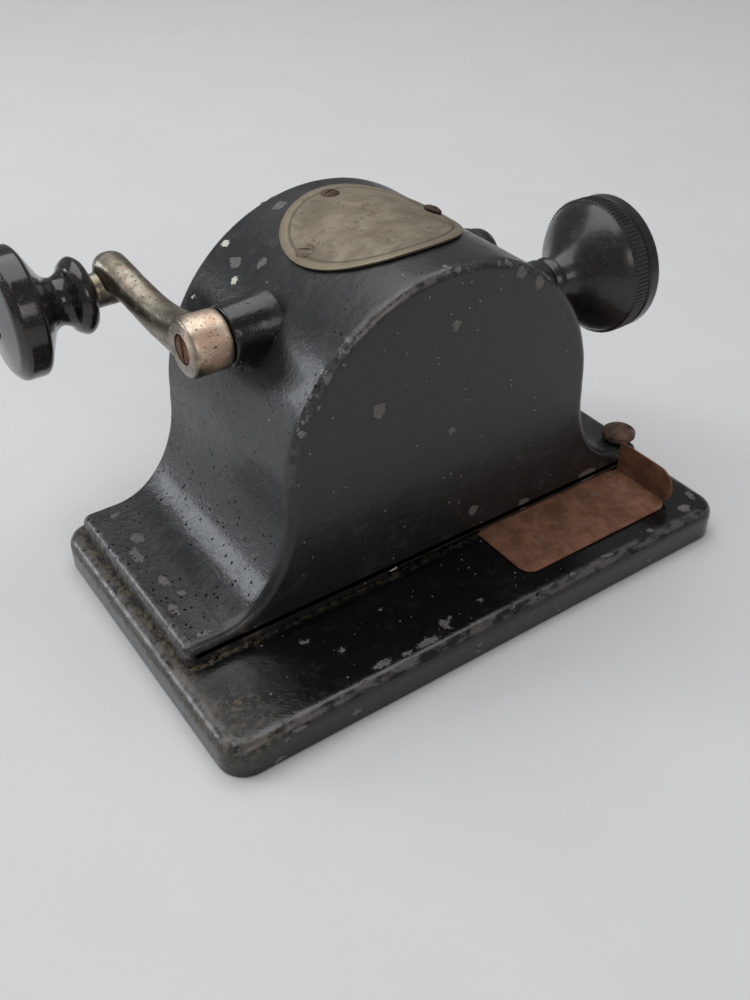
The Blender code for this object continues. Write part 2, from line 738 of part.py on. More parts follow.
def arm_section(share):
    """The bar's section, interpolated linearly between the listed stations."""
    for near, far in zip(ARM_PATH, ARM_PATH[1:]):
        if share <= far[0]:
            f = (share - near[0]) / (far[0] - near[0])
            return [p + (q - p) * f for p, q in zip(near[1:], far[1:])]
    return ARM_PATH[-1][1:]


def arm_bar():
    """Bar from inside the hub to its rounded far end."""
    last = ARM_PATH[-1][0]
    stations = [(ARM_START + (last - ARM_START) * k / (ARM_STATIONS - 1), 1.0)
                for k in range(ARM_STATIONS)]
    for a in map(math.radians, (30, 58, 80)):
        stations.append((last + ARM_TIP_L / CRANK_RADIUS * math.sin(a), math.cos(a)))
    angles = [2 * math.pi * k / ARM_SIDES for k in range(ARM_SIDES)]
    rings = []
    for share, shrink in stations:
        x, lift, half_w, half_h = arm_section(share)
        y = CRANK_YZ[0] + CRANK_RADIUS * share
        z = CRANK_YZ[1] + lift
        rings.append([(x + half_w * shrink * math.cos(a), y, z + half_h * shrink * math.sin(a))
                      for a in angles])
    return loft(rings)


def crank_shaft():
    """Shaft with a blind screw hole in its left end."""
    profile = stepped(-58.2, (-64.6, 1.7), (-15.2, CRANK_SHAFT_R))
    piece("crank_shaft", along_x(profile, CRANK_YZ), "crank", "machined_steel")


def crank_arm():
    arm = piece("crank_arm", along_x(HUB_PROFILE, CRANK_YZ, 24), "crank", "aged_nickel")
    fuse(arm, "crank_bar_shape", arm_bar())
    fuse(arm, "crank_end_shape", along_x(ARM_END_PROFILE, HANDLE_YZ))
    # screw head recess, screw hole, then shaft socket
    hub_bore = stepped(HUB_FRONT_X - 3, (HUB_FRONT_X + 1.3, 4.8), (-64.9, 1.8),
                       (-50, CRANK_SHAFT_R + GAP))
    cut(arm, "crank_bore_tools", along_x(hub_bore, CRANK_YZ),
        rod_x(ARM_END_X - 12, ARM_END_X + 4.4, HANDLE_BORE_R, HANDLE_YZ))


def crank_hub_screw():
    profile = stepped(HUB_FRONT_X + 0.1, (HUB_FRONT_X + 1.0, 4.4), (-58.6, 1.4))
    piece("crank_hub_screw", along_x(profile, CRANK_YZ, 12), "crank", "brown_steel")


def crank_handle():
    piece("handle_pin", along_x(HANDLE_PIN_PROFILE, HANDLE_YZ), "crank", "machined_steel")
    piece("crank_handle", along_x(HANDLE_PROFILE, HANDLE_YZ, 28), "crank_handle", "bakelite")


# =================================================================== spindle
def cutter_spindle():
    profile = stepped(-45.3, (-7.9, SPINDLE_NECK_R), (CUTTER_X + 1.8, SPINDLE_R), (38.0, 6.3),
                      (56.8, SPINDLE_R))
    piece("cutter_spindle", along_x(profile, SPINDLE_YZ), "spindle", "machined_steel")


def cutter_wheel():
    """Disc with a zigzag rim."""
    y, z = SPINDLE_YZ
    rim = []
    for k in range(2 * CUTTER_TEETH):
        radius = CUTTER_R - CUTTER_TOOTH_DEPTH * (k % 2)
        # The low points lean half a step towards the next tooth.
        a = math.pi * (k + 0.5 * (k % 2)) / CUTTER_TEETH
        rim.append((y + radius * math.cos(a), z + radius * math.sin(a)))
    wheel = piece("cutter_wheel", prism(rim, "x", CUTTER_X - CUTTER_HALF_W, CUTTER_X + CUTTER_HALF_W),
                  "spindle", "tool_steel", sharp=20)
    cut(wheel, "cutter_wheel_bore",
        rod_x(CUTTER_X - 4, CUTTER_X + 4, SPINDLE_R + GAP, SPINDLE_YZ))


def cutter_washer():
    ring = sleeve(CUTTER_X - 3.2, CUTTER_X - CUTTER_HALF_W - GAP, SPINDLE_R + GAP, 7.2)
    piece("cutter_washer", along_x(ring, SPINDLE_YZ), "spindle", "machined_steel")


def cutter_nut():
    hexagon = arc(*SPINDLE_YZ, 7.2, 30, 330, 5)
    nut = piece("cutter_nut", prism(hexagon, "x", CUTTER_X - 8.3, CUTTER_X - 3.5),
                "spindle", "machined_steel")
    cut(nut, "cutter_nut_bore", rod_x(CUTTER_X - 12, CUTTER_X, SPINDLE_R + GAP, SPINDLE_YZ))


# ======================================================================= feed
# (x, radius), closed on itself around the bore and the screw head recess
KNOB_PROFILE = [
    (58.1, FEED_R + GAP), (58.1, 8.0), (61.2, 8.3), (61.7, 7.1), (63.4, 7.3), (66.4, 9.0),
    (69.2, 11.9), (71.8, 15.2), (74.4, 18.3), (77.0, 20.9), (79.4, 22.5), (79.7, KNOB_R),
    (84.6, KNOB_R), (84.9, 22.7), (85.4, 22.7), (85.7, 23.3), (89.0, 23.3), (90.2, 22.0),
    (91.2, 5.0), (87.0, 5.0), (87.0, 2.0), (85.0, 2.0), (85.0, FEED_R + GAP),
]
KNOB_SCREW_PROFILE = [(74.4, 0), (74.4, 1.4), (87.3, 1.4), (87.3, 4.0), (89.2, 4.0),
                      (89.8, 3.2), (89.8, 0)]


def feed_screw():
    """Plain shaft with a collar and a blind screw hole in its right end."""
    profile = stepped(-42.8, (-35.6, FEED_NECK_R), (36.2, FEED_R), (38.0, 5.4),
                      (84.4, FEED_R), (74.0, 1.7))
    piece("feed_screw", along_x(profile, FEED_YZ), "feed", "machined_steel")


def feed_knob():
    piece("feed_knob", along_x(KNOB_PROFILE, FEED_YZ, 36), "feed", "bakelite")
    piece("feed_knob_screw", along_x(KNOB_SCREW_PROFILE, FEED_YZ), "feed", "machined_steel")


# =================================================================== carriage
NUT_R = 6.2
# web and foot below the round head: y from the feed axis, z
CARRIAGE_WEB = (
    (-6.8, 76.0), (-6.8, 60.0), (-9.2, 54.0), (-9.2, 30.0), (-7.2, 26.0),
    (40.0, 26.0), (42.0, 27.0), (42.0, 29.2), (40.6, 30.0),
    (11.0, 30.0), (9.2, 33.0), (9.2, 54.0), (6.8, 60.0), (6.8, 76.0),
)


def carriage():
    outline = arc(*FEED_YZ, 9.4, -35, 215, 12)
    outline += [(FEED_YZ[0] + y, z) for y, z in CARRIAGE_WEB]
    body = piece("carriage", prism(outline, "x", CARRIAGE_X - 6, CARRIAGE_X + 6),
                 "carriage", "black_enamel")
    fuse(body, "carriage_barrel", rod_x(CARRIAGE_X - 10, CARRIAGE_X + 10, 8.4, GUIDE_YZ))
    cut(body, "carriage_bore_tools",
        rod_x(CARRIAGE_X - 20, CARRIAGE_X + 20, NUT_R + GAP, FEED_YZ),
        rod_x(CARRIAGE_X - 20, CARRIAGE_X + 20, GUIDE_BORE_R, GUIDE_YZ))


def feed_nut():
    """Flanged sleeve in the carriage head."""
    start, flange, end = CARRIAGE_X - 7.0, CARRIAGE_X + 6.3, CARRIAGE_X + 8.0
    bore_r, flange_r = FEED_R + GAP, 8.6
    profile = [(start, bore_r), (start, NUT_R), (flange, NUT_R), (flange, flange_r),
               (end, flange_r), (end, bore_r)]
    piece("feed_nut", along_x(profile, FEED_YZ), "carriage", "bronze")


def lift_spring():
    """Compression spring with its ends laid flat, wire centre line on a helix."""
    y, bottom, top = 31.0, 30.3, 41.7
    coil_r, wire_r, turns = 5.0, 0.55, 4.5
    steps, sides = int(turns * 10), 5
    flat = 0.8 / turns        # share of the wire laid flat at each end
    up = Vector((0, 0, 1))
    rings = []
    for k in range(steps + 1):
        f = k / steps
        a = 2 * math.pi * turns * f
        rise = min(1.0, max(0.0, (f - flat) / (1 - 2 * flat)))
        z = bottom + wire_r + (top - bottom - 2 * wire_r) * rise
        out = Vector((math.cos(a), math.sin(a), 0))
        centre = Vector((CARRIAGE_X, y, z)) + out * coil_r
        around = [2 * math.pi * q / sides for q in range(sides)]
        rings.append([centre + (out * math.cos(b) + up * math.sin(b)) * wire_r for b in around])
    piece("lift_spring", loft(rings), "carriage", "spring_steel")


# ================================================================= vise table
UPRIGHT_BOTTOM_Z = 46.0       # sunk into the table
# (y, z)
JAW_OUTLINE = [(36.6, 48.3), (48.0, 48.3), (48.0, 61.5), (44.5, JAW_TOP_Z), (37.2, JAW_TOP_Z),
               (36.6, JAW_TOP_Z - 0.6)]
# (y, radius)
CLAMP_PROFILE = [
    (43.0, 0), (43.0, CLAMP_SCREW_R), (51.4, CLAMP_SCREW_R), (51.4, 4.2), (52.4, 4.2),
    (52.4, CLAMP_SCREW_R), (57.9, CLAMP_SCREW_R), (57.9, 4.8), (59.6, 4.8), (60.2, 7.3),
    (69.4, 7.3), (70.4, 6.4), (70.4, 0),
]


def table_lugs():
    """Two hinge lugs around the guide rod, on either side of the carriage barrel."""
    y, z = GUIDE_YZ
    outline = arc(y, z, 8.2, 35, 325, 12)
    outline += [(y + 12, 43.2), (24.0, 43.2), (24.0, 47.0), (y + 12, 50.5)]
    return [prism(outline, "x", CARRIAGE_X - 20, CARRIAGE_X - 10.4),
            prism(outline, "x", CARRIAGE_X + 10.4, CARRIAGE_X + 20)]


def table_uprights(x):
    """Fixed jaw with chamfered top corners, and the round-topped clamp post before it."""
    left, right = x - VISE_HALF_W, x + VISE_HALF_W
    foot_left, foot_right = (left, UPRIGHT_BOTTOM_Z), (right, UPRIGHT_BOTTOM_Z)
    jaw = [foot_left, (left, JAW_TOP_Z - 1), (left + 1, JAW_TOP_Z), (right - 1, JAW_TOP_Z),
           (right, JAW_TOP_Z - 1), foot_right]
    post = [foot_left] + arc(x, CLAMP_Z, 7.2, 190, -10, 8) + [foot_right]
    return [prism(jaw, "y", 26.0, 34.4), prism(post, "y", 52.7, 57.6)]


def vise_table():
    plate = rounded_rect(CARRIAGE_X - 29.5, CARRIAGE_X + 29.5, 20.0, 58.0, 4.0, 4)
    table = piece("vise_table", prism(plate, "z", *TABLE_Z), "vise_table", "black_enamel")
    fuse(table, "table_lugs", *table_lugs())
    fuse(table, "table_uprights", *table_uprights(TRACER_X), *table_uprights(CUTTER_X))
    cut(table, "table_bore_tools",
        rod_x(CARRIAGE_X - 32, CARRIAGE_X + 32, GUIDE_BORE_R, GUIDE_YZ),
        *[rod_y(50.0, 62.0, CLAMP_SCREW_R + GAP, (x, CLAMP_Z)) for x in VISES.values()])


def vise_parts(name, x):
    """Sliding jaw and the screw that pushes it."""
    jaw = piece(name + "_jaw", prism(JAW_OUTLINE, "x", x - VISE_HALF_W, x + VISE_HALF_W),
                name + "_jaw", "tool_steel")
    cut(jaw, name + "_jaw_bore", rod_y(38.7, 52.0, CLAMP_SCREW_R + GAP, (x, CLAMP_Z)))
    piece(name + "_clamp_screw", along_y(CLAMP_PROFILE, (x, CLAMP_Z), 16),
          name + "_clamp", "aged_nickel")


# ============================================================= tracer bracket
# upright against the housing front with an arm reaching back over the key, (y, z)
BRACKET_OUTLINE = [
    (55.0, 71.0), (59.0, 73.0), (59.0, 111.8), (57.0, 113.8), (55.0, 113.8),
    (55.0, 77.6), (33.0, 77.6), (32.4, 77.0), (32.4, 71.6), (33.0, 71.0),
]
# (z, radius)
TRACER_PIN_PROFILE = [(68.4, 0), (68.4, 0.9), (70.0, TRACER_PIN_R), (78.3, TRACER_PIN_R),
                      (78.3, 0)]
# (y, radius)
BRACKET_SCREW_PROFILE = [(47.0, 0), (47.0, 1.4), (59.3, 1.4), (59.3, 2.7), (60.6, 2.7),
                         (61.0, 2.2), (61.0, 0)]


def tracer_bracket():
    x = TRACER_X
    bracket = piece("tracer_bracket", prism(BRACKET_OUTLINE, "x", x - 6, x + 6),
                    "base", "black_enamel")
    cut(bracket, "tracer_bracket_tools",
        *[rod_y(50, 65, 1.8, (x, z), 10) for z in BRACKET_SCREW_Z.values()],
        rod_z(60, 90, TRACER_PIN_R + GAP, (x, KEY_Y), 10),
        rod_x(x - 12, x + 0.2, SET_SCREW_R + GAP, SET_SCREW_YZ, 8))


def tracer_fittings():
    x = TRACER_X
    piece("tracer_pin", along_z(TRACER_PIN_PROFILE, (x, KEY_Y)), "base", "tool_steel")
    piece("tracer_set_screw", rod_x(x - 9.5, x - 1.8, SET_SCREW_R, SET_SCREW_YZ, 8),
          "base", "machined_steel")
    for label, z in BRACKET_SCREW_Z.items():
        piece("bracket_screw_" + label, along_y(BRACKET_SCREW_PROFILE, (x, z)),
              "base", "machined_steel")


# ======================================================================= tray
def chip_tray():
    """Bent sheet on the base: a floor with a tongue under the back wall, upturned right end."""
    bottom = BASE_H + GAP
    top = bottom + TRAY_WALL_H
    x0, x1 = TRAY_X
    y0 = TRAY_Y[0]
    shoulder_y = TRAY_Y[1] + 0.2
    tongue_y = HOUSING_BACK_Y + 3.6
    r = TRAY_CORNER_R
    floor = arc(x0 + r, y0 + r, r, 180, 270, 6) + arc(x1 - 0.5 - r, y0 + r, r, 270, 350, 5)
    floor += [(x1 - 0.2, y0 + 6), (x1 - 0.2, shoulder_y), (x1 - 3, shoulder_y), (x1 - 3, tongue_y),
              (x0 + 1.5, tongue_y), (x0 + 1.5, shoulder_y), (x0, shoulder_y)]
    tray = piece("chip_tray", prism(floor, "z", bottom, bottom + TRAY_T), "tray", "rusty_sheet")

    wall = [(y0 + 3.0, bottom + 0.05), (shoulder_y, bottom + 0.05), (shoulder_y, top - 2.0),
            (TRAY_Y[1] - 1.8, top)]
    for a in map(math.radians, (90, 112, 135, 158, 180)):
        wall.append((y0 + TRAY_WALL_R + TRAY_WALL_R * math.cos(a),
                     top - TRAY_WALL_R + TRAY_WALL_R * math.sin(a)))
    wall.append((y0 + 0.3, bottom + 3.5))
    fuse(tray, "tray_wall_shape", prism(wall, "x", x1 - TRAY_T, x1))


# ===================================================================== build
base_plate()
housing()
name_plate()
name_plate_screws()
foot_screws()
bushes()
spindle_cap()
idler_stud()
guide_rod()
gears()
crank_shaft()
crank_arm()
crank_hub_screw()
crank_handle()
cutter_spindle()
cutter_wheel()
cutter_washer()
cutter_nut()
feed_screw()
feed_knob()
carriage()
feed_nut()
lift_spring()
vise_table()
for vise, vise_x in VISES.items():
    vise_parts(vise, vise_x)
tracer_bracket()
tracer_fittings()
chip_tray()
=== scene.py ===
"""A hand-cranked key cutting machine on a cast base plate.

Lengths are in mm until raw() turns them into metres. X runs along the base: the crank is at -x
(left) and the feed knob at +x (right). The closed wall of the housing faces -y (back), its open
mouth and the vises face +y (front). Z is up, with the base plate standing on z = 0.
"""
import math
from functools import cached_property, reduce

import bmesh
import bpy
from mathutils import Matrix, Vector, noise as field


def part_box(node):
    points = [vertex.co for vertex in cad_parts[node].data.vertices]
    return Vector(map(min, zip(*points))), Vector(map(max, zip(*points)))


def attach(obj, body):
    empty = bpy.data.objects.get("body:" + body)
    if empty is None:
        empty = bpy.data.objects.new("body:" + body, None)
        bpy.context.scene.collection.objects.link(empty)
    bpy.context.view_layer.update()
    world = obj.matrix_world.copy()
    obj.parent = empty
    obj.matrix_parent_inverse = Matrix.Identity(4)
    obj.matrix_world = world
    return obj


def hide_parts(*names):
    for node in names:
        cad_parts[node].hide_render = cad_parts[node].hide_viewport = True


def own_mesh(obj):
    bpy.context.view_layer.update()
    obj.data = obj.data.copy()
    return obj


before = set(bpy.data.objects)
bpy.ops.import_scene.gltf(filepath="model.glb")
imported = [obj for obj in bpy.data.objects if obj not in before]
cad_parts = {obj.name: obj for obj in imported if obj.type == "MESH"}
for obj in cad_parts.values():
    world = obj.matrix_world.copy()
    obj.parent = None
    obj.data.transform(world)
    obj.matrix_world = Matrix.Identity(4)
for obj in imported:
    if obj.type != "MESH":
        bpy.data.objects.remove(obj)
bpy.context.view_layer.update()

MM = 0.001
SCENE = bpy.context.scene

# ------------------------------------------------------------ shared dimensions, mm
BASE_L, BASE_W, BASE_H = 203.0, 124.0, 12.6
BACK_Y, FRONT_Y = -24.75, 54.7                       # end planes of the housing
ARCH_X, ARCH_Z, ARCH_R = 2.2, 58.9, 59.3
FOOT_TOP_Z, FOOT_HALF_L, FOOT_ROUND = 20.3, 95.5, 3.2
FLARE_A, FLARE_DRAFT, FLARE_TOP_Z = 25.0, 0.3, 56.2  # curve from the foot into the arch
GAP = 0.3                                            # between stacked parts
FLOOR_Z = BASE_H + GAP


def centre(node):
    """Middle of a CAD piece as (x, y, z)."""
    lo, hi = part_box(node)
    return tuple((a + b) * 500.0 for a, b in zip(lo, hi))


# axes along x, as (y, z)
CRANK = centre("crank_bushing")[1:]
SPINDLE = centre("spindle_bushing_right")[1:]
FEED = centre("feed_bushing_right")[1:]
IDLER = centre("idler_stud")[1:]
GUIDE = centre("guide_rod")[1:]
HANDLE = centre("handle_pin")[1:]
TRACER_X = centre("tracer_pin")[0]
CUTTER_X = centre("cutter_wheel")[0]
CARRIAGE_X = centre("vise_table")[0]

CLAMP_Z, KEY_Y, JAW_TOP_Z, VISE_HALF_W = 57.0, 35.4, 65.5, 7.0
BRACKET_SCREWS_Z = (105.0, 110.6)
SET_SCREW = (KEY_Y, 74.3)
CRANK_RADIUS = 51.0
HUB_FRONT_X, HUB_BACK_X, ARM_END_X = -67.8, -55.0, -68.6
HOLD_DOWN = ((91.4, -17.3), (91.4, 47.2))    # screws from above, (x, y)
FROM_BELOW = ((-88.0, -17.3), (-88.0, 47.2))
# name plate: an ellipse laid on the arch, s measured along the arc from its crown
PLATE_S, PLATE_Y, PLATE_A, PLATE_B, PLATE_T = -1.0, 17.3, 29.2, 28.0, 0.7
PLATE_SCREWS = ((-25.4, 17.7), (-1.5, 39.8), (24.0, 18.5))


# =================================================================== node finishes
class Signal:
    """An output in a shader tree; arithmetic on it adds math nodes."""

    def __init__(self, finish, socket):
        self.finish, self.socket = finish, socket

    def __mul__(self, other):
        return self.finish.num("MULTIPLY", self, other)

    def __add__(self, other):
        return self.finish.num("ADD", self, other)

    def __sub__(self, other):
        return self.finish.num("SUBTRACT", self, other)

    def __rsub__(self, other):
        return self.finish.num("SUBTRACT", other, self)

    def __neg__(self):
        return self * -1.0

    def __abs__(self):
        return self.finish.num("ABSOLUTE", self)

    def scaled(self, by, plus):
        return self.finish.num("MULTIPLY_ADD", self, by, plus)

    def min(self, other):
        return self.finish.num("MINIMUM", self, other)

    def max(self, other):
        return self.finish.num("MAXIMUM", self, other)

    def atan2(self, other):
        return self.finish.num("ARCTAN2", self, other)

    def hypot(self, other):
        return self.finish.num("SQRT", self * self + other * other)

    def step(self, start, end, low=0.0, high=1.0):
        """Smooth step from low at start to high at end; start may be the larger."""
        limits = {"From Min": start, "From Max": end, "To Min": low, "To Max": high}
        return self.finish.wire(
            "MapRange", {"Value": self, **limits}, interpolation_type="SMOOTHSTEP")


class Finish:
    """A procedural material, in millimetres of the object's own coordinates.

    colour and rough hold the surface painted so far; apply() hands them to the shader.
    """

    def __init__(self, name):
        self.mat = bpy.data.materials.new(name)
        self.mat.use_nodes = True
        self.tree = self.mat.node_tree
        self.tree.nodes.clear()
        self.output = self.tree.nodes.new("ShaderNodeOutputMaterial")
        self.shader = self.tree.nodes.new("ShaderNodeBsdfPrincipled")
        self.tree.links.new(self.shader.outputs[0], self.output.inputs[0])
        self.normal = None
        self.point = self.vec("MULTIPLY", self.wire("TexCoord", {}, "Object"), (1000.0,) * 3)

    @cached_property
    def xyz(self):
        return [Signal(self, out) for out in self.add("SeparateXYZ", {0: self.point}).outputs]

    # ---- nodes
    def put(self, socket, value):
        if isinstance(value, Signal):
            self.tree.links.new(value.socket, socket)
        else:
            socket.default_value = (*value, 1.0) if socket.type == "RGBA" else value

    def add(self, kind, inputs, **settings):
        node = self.tree.nodes.new("ShaderNode" + kind)
        for key, value in settings.items():
            setattr(node, key, value)
        for key, value in inputs.items():
            if value is not None:
                self.put(node.inputs[key], value)
        return node

    def wire(self, kind, inputs, output=0, **settings):
        return Signal(self, self.add(kind, inputs, **settings).outputs[output])

    def num(self, op, a, b=0.0, c=0.0, clamp=False):
        return self.wire("Math", {0: a, 1: b, 2: c}, operation=op, use_clamp=clamp)

    def vec(self, op, *values):
        output = "Value" if op == "LENGTH" else "Vector"
        return self.wire("VectorMath", dict(enumerate(values)), output, operation=op)

    def mix(self, factor, a, b):
        """Colour a where factor is 0, b where it is 1."""
        return self.wire("Mix", {0: factor, 6: a, 7: b}, 2, data_type="RGBA")

    def channel(self, colour, index):
        return self.wire("SeparateColor", {0: colour}, index)

    # ---- patterns
    def moved(self, stretch=None, shift=None):
        at = self.point
        if stretch:
            at = self.vec("MULTIPLY", at, stretch)
        if shift:
            at = self.vec("ADD", at, shift)
        return at

    def noise(self, size, detail=4.0, rough=0.6, warp=0.0, stretch=None, shift=None,
              output=0):
        """Fractal noise whose largest features are about size mm."""
        return self.wire("TexNoise", {
            "Vector": self.moved(stretch, shift), "Scale": 1.0 / size, "Detail": detail,
            "Roughness": rough, "Distortion": warp}, output)

    def pits(self, spacing, radius, share, shift=(0.0, 0.0, 0.0)):
        """Mask of round pits up to radius mm, in a share of cells spacing mm apart."""
        cells = self.add("TexVoronoi", {"Vector": self.moved(shift=shift), "Scale": 1.0 / spacing})
        distance = Signal(self, cells.outputs["Distance"]) * spacing
        colour = Signal(self, cells.outputs["Color"])
        lucky = self.channel(colour, 0).step(1 - share, 1 - share + 0.02)
        size = self.channel(colour, 1).scaled(radius * 0.7, plus=radius * 0.3)
        return lucky * (distance - size).step(0.0, -radius * 0.35)

    def spots(self, ellipsoids, ragged, size, shift=None):
        """Distance in mm outside the nearest of (x, y, z, rx, ry, rz) ellipsoids.

        Their borders wander by ragged mm, in noise of the given size."""
        wobble = self.noise(size, detail=3.0, shift=shift, output="Color")
        wobble = self.vec("SUBTRACT", wobble, (0.5, 0.5, 0.5))
        at = self.vec("MULTIPLY_ADD", wobble, (2 * ragged,) * 3, self.point)
        outside = []
        for x, y, z, rx, ry, rz in ellipsoids:
            scale, offset = (1 / rx, 1 / ry, 1 / rz), (-x / rx, -y / ry, -z / rz)
            r = min(rx, ry, rz)
            length = self.vec("LENGTH", self.vec("MULTIPLY_ADD", at, scale, offset))
            outside.append(length.scaled(r, plus=-r))
        return reduce(Signal.min, outside)

    # ---- layers
    def paint(self, mask, colour, share=None, rough=None, rough_share=None):
        """Lay a colour, and optionally a roughness, over the surface where mask is 1."""
        self.colour = self.mix(mask * share if share else mask, self.colour, colour)
        if rough:
            mask = mask * rough_share if rough_share else mask
            self.rough = self.wire("Mix", {0: mask, 2: self.rough, 3: rough}, data_type="FLOAT")

    def bump(self, height, depth, strength=1.0):
        """Relief of depth mm, on top of any earlier relief."""
        self.normal = self.wire("Bump", {
            "Strength": strength, "Distance": depth * MM, "Height": height, "Normal": self.normal})
        self.put(self.shader.inputs["Normal"], self.normal)

    def apply(self, **values):
        for key, value in dict(Base_Color=self.colour, Roughness=self.rough, **values).items():
            self.put(self.shader.inputs[key.replace("_", " ")], value)


def enamel(name, *, chips, edge, pitted, rough, primer=(), dirt=None, coarse=None, depth=1.0):
    """Black enamelled casting: orange peel, pits, chips to grey iron, rubbed edges lightened partly
    as a painted highlight, dirt, and with coarse a painted shade round the crank boss.

    edge gives (wear, loss) masks, dirt and coarse a mask each; depth scales the black.
    """
    f = Finish(name)
    cloud = f.noise(18.0)
    peel = f.noise(2.7, detail=3.0, rough=0.55)
    fine = f.noise(0.9, detail=3.0)
    worse = coarse(f) if coarse else None
    dark, light = (tuple(c * depth for c in black)
                   for black in ((0.0065, 0.0063, 0.0068), (0.0155, 0.0149, 0.0153)))
    f.colour = f.mix(cloud, dark, light)
    haze = f.noise(7.0, detail=5.0, rough=0.68, warp=0.3, shift=(2.0, 2.0, 6.0)).step(0.50, 0.72)
    f.paint(haze, (0.034 * depth, 0.033 * depth, 0.034 * depth), share=0.45)
    f.rough = cloud.scaled(0.14, plus=rough - 0.07)
    f.rough = haze.scaled(0.12, plus=fine.scaled(0.08, plus=f.rough))

    if dirt:
        dust = f.noise(2.2, rough=0.7).step(0.38, 0.62)
        f.paint(dirt(f), f.mix(dust, (0.011, 0.010, 0.009), (0.135, 0.106, 0.060)), rough=0.85)

    if coarse:
        # painted shade: darker and glossier round the crank boss, where it stands in shadow
        boss_shade = f.spots([(-48.0, *CRANK, 10.5, 11.5, 11.5)], ragged=1.6, size=3.0).step(1.6, -0.6)
        f.paint(boss_shade, (0.0035, 0.0032, 0.0032), share=0.8, rough=0.16, rough_share=0.7)

    # rubbed edges, lightened further as a painted highlight line: the enamel is thin and brownish
    # grey there
    wear, loss = edge(f)
    f.paint(wear, f.mix(fine, (0.050, 0.044, 0.043), (0.210, 0.188, 0.180)),
            share=0.62, rough=0.38, rough_share=0.7)

    # chips down to iron, with torn borders and a dark halo
    away = (fine - 0.5).scaled(1.4, plus=f.spots(chips, ragged=1.5, size=1.7))
    chip = away.step(0.10, -0.14).max(loss)
    f.paint(away.step(0.9, 0.1), (0.004, 0.004, 0.004), share=0.45)
    iron = f.mix(f.noise(1.3, rough=0.65), (0.050, 0.046, 0.044), (0.170, 0.156, 0.146))
    rusty = f.noise(2.6, shift=(9.0, 2.0, 4.0)).step(0.56, 0.68)
    iron = f.mix(rusty * 0.6, iron, (0.060, 0.038, 0.026))
    scab = loss * f.noise(2.1, warp=0.5, shift=(1.0, 3.0, 6.0)).step(0.40, 0.52)
    # bare iron where the enamel has flaked off, lightened partly as a painted highlight between the
    # scabs
    bare = f.mix(f.noise(1.3, rough=0.65), (0.072, 0.068, 0.064), (0.260, 0.245, 0.228))
    iron = f.mix(loss, iron, bare)
    iron = f.mix(scab * 0.90, iron, (0.008, 0.007, 0.007))
    f.paint(chip, iron, rough=0.58)

    if primer:
        # a few small chips show pale primer
        near = f.spots(primer, ragged=1.7, size=1.3, shift=(7.0, 3.0, 1.0))
        pale = (fine - 0.5).scaled(1.1, plus=near).step(0.08, -0.10)
        f.paint(pale, f.mix(fine, (0.42, 0.38, 0.29), (0.80, 0.78, 0.70)), rough=0.7)

    # scattered pits and pale specks, more pits where the casting is coarse
    hole = f.pits(3.7, radius=0.50, share=pitted * 0.62).max(
        f.pits(1.8, radius=0.30, share=pitted * 0.7, shift=(11.0, 4.0, 2.0)))
    if coarse:
        hole = hole.max(f.pits(2.0, radius=0.60, share=0.90, shift=(1.0, 6.0, 9.0)) * worse)
    fleck = f.pits(3.8, radius=0.52, share=0.34, shift=(3.0, 9.0, 5.0)).max(
        f.pits(1.9, radius=0.30, share=0.30, shift=(5.0, 1.0, 8.0)))
    f.paint(hole, (0.003, 0.003, 0.003))
    f.paint(fleck, (0.21, 0.20, 0.19), share=0.85)

    open_pit = f.num("MULTIPLY", hole, 1.0, clamp=True)
    f.apply(Metallic=0.0, Specular_IOR_Level=open_pit.scaled(-0.46, plus=0.5),
            Coat_Weight=open_pit.scaled(-0.20, plus=0.20), Coat_Roughness=0.14)
    relief = cloud.scaled(1.3, plus=peel.scaled(0.9, plus=fine * 0.34))
    if coarse:
        relief = relief * worse.scaled(1.1, plus=1.0)
    f.bump(relief, depth=0.15)
    f.bump(-hole + fleck * 0.7, depth=0.24)
    f.bump(-chip, depth=0.26)
    return f.mat


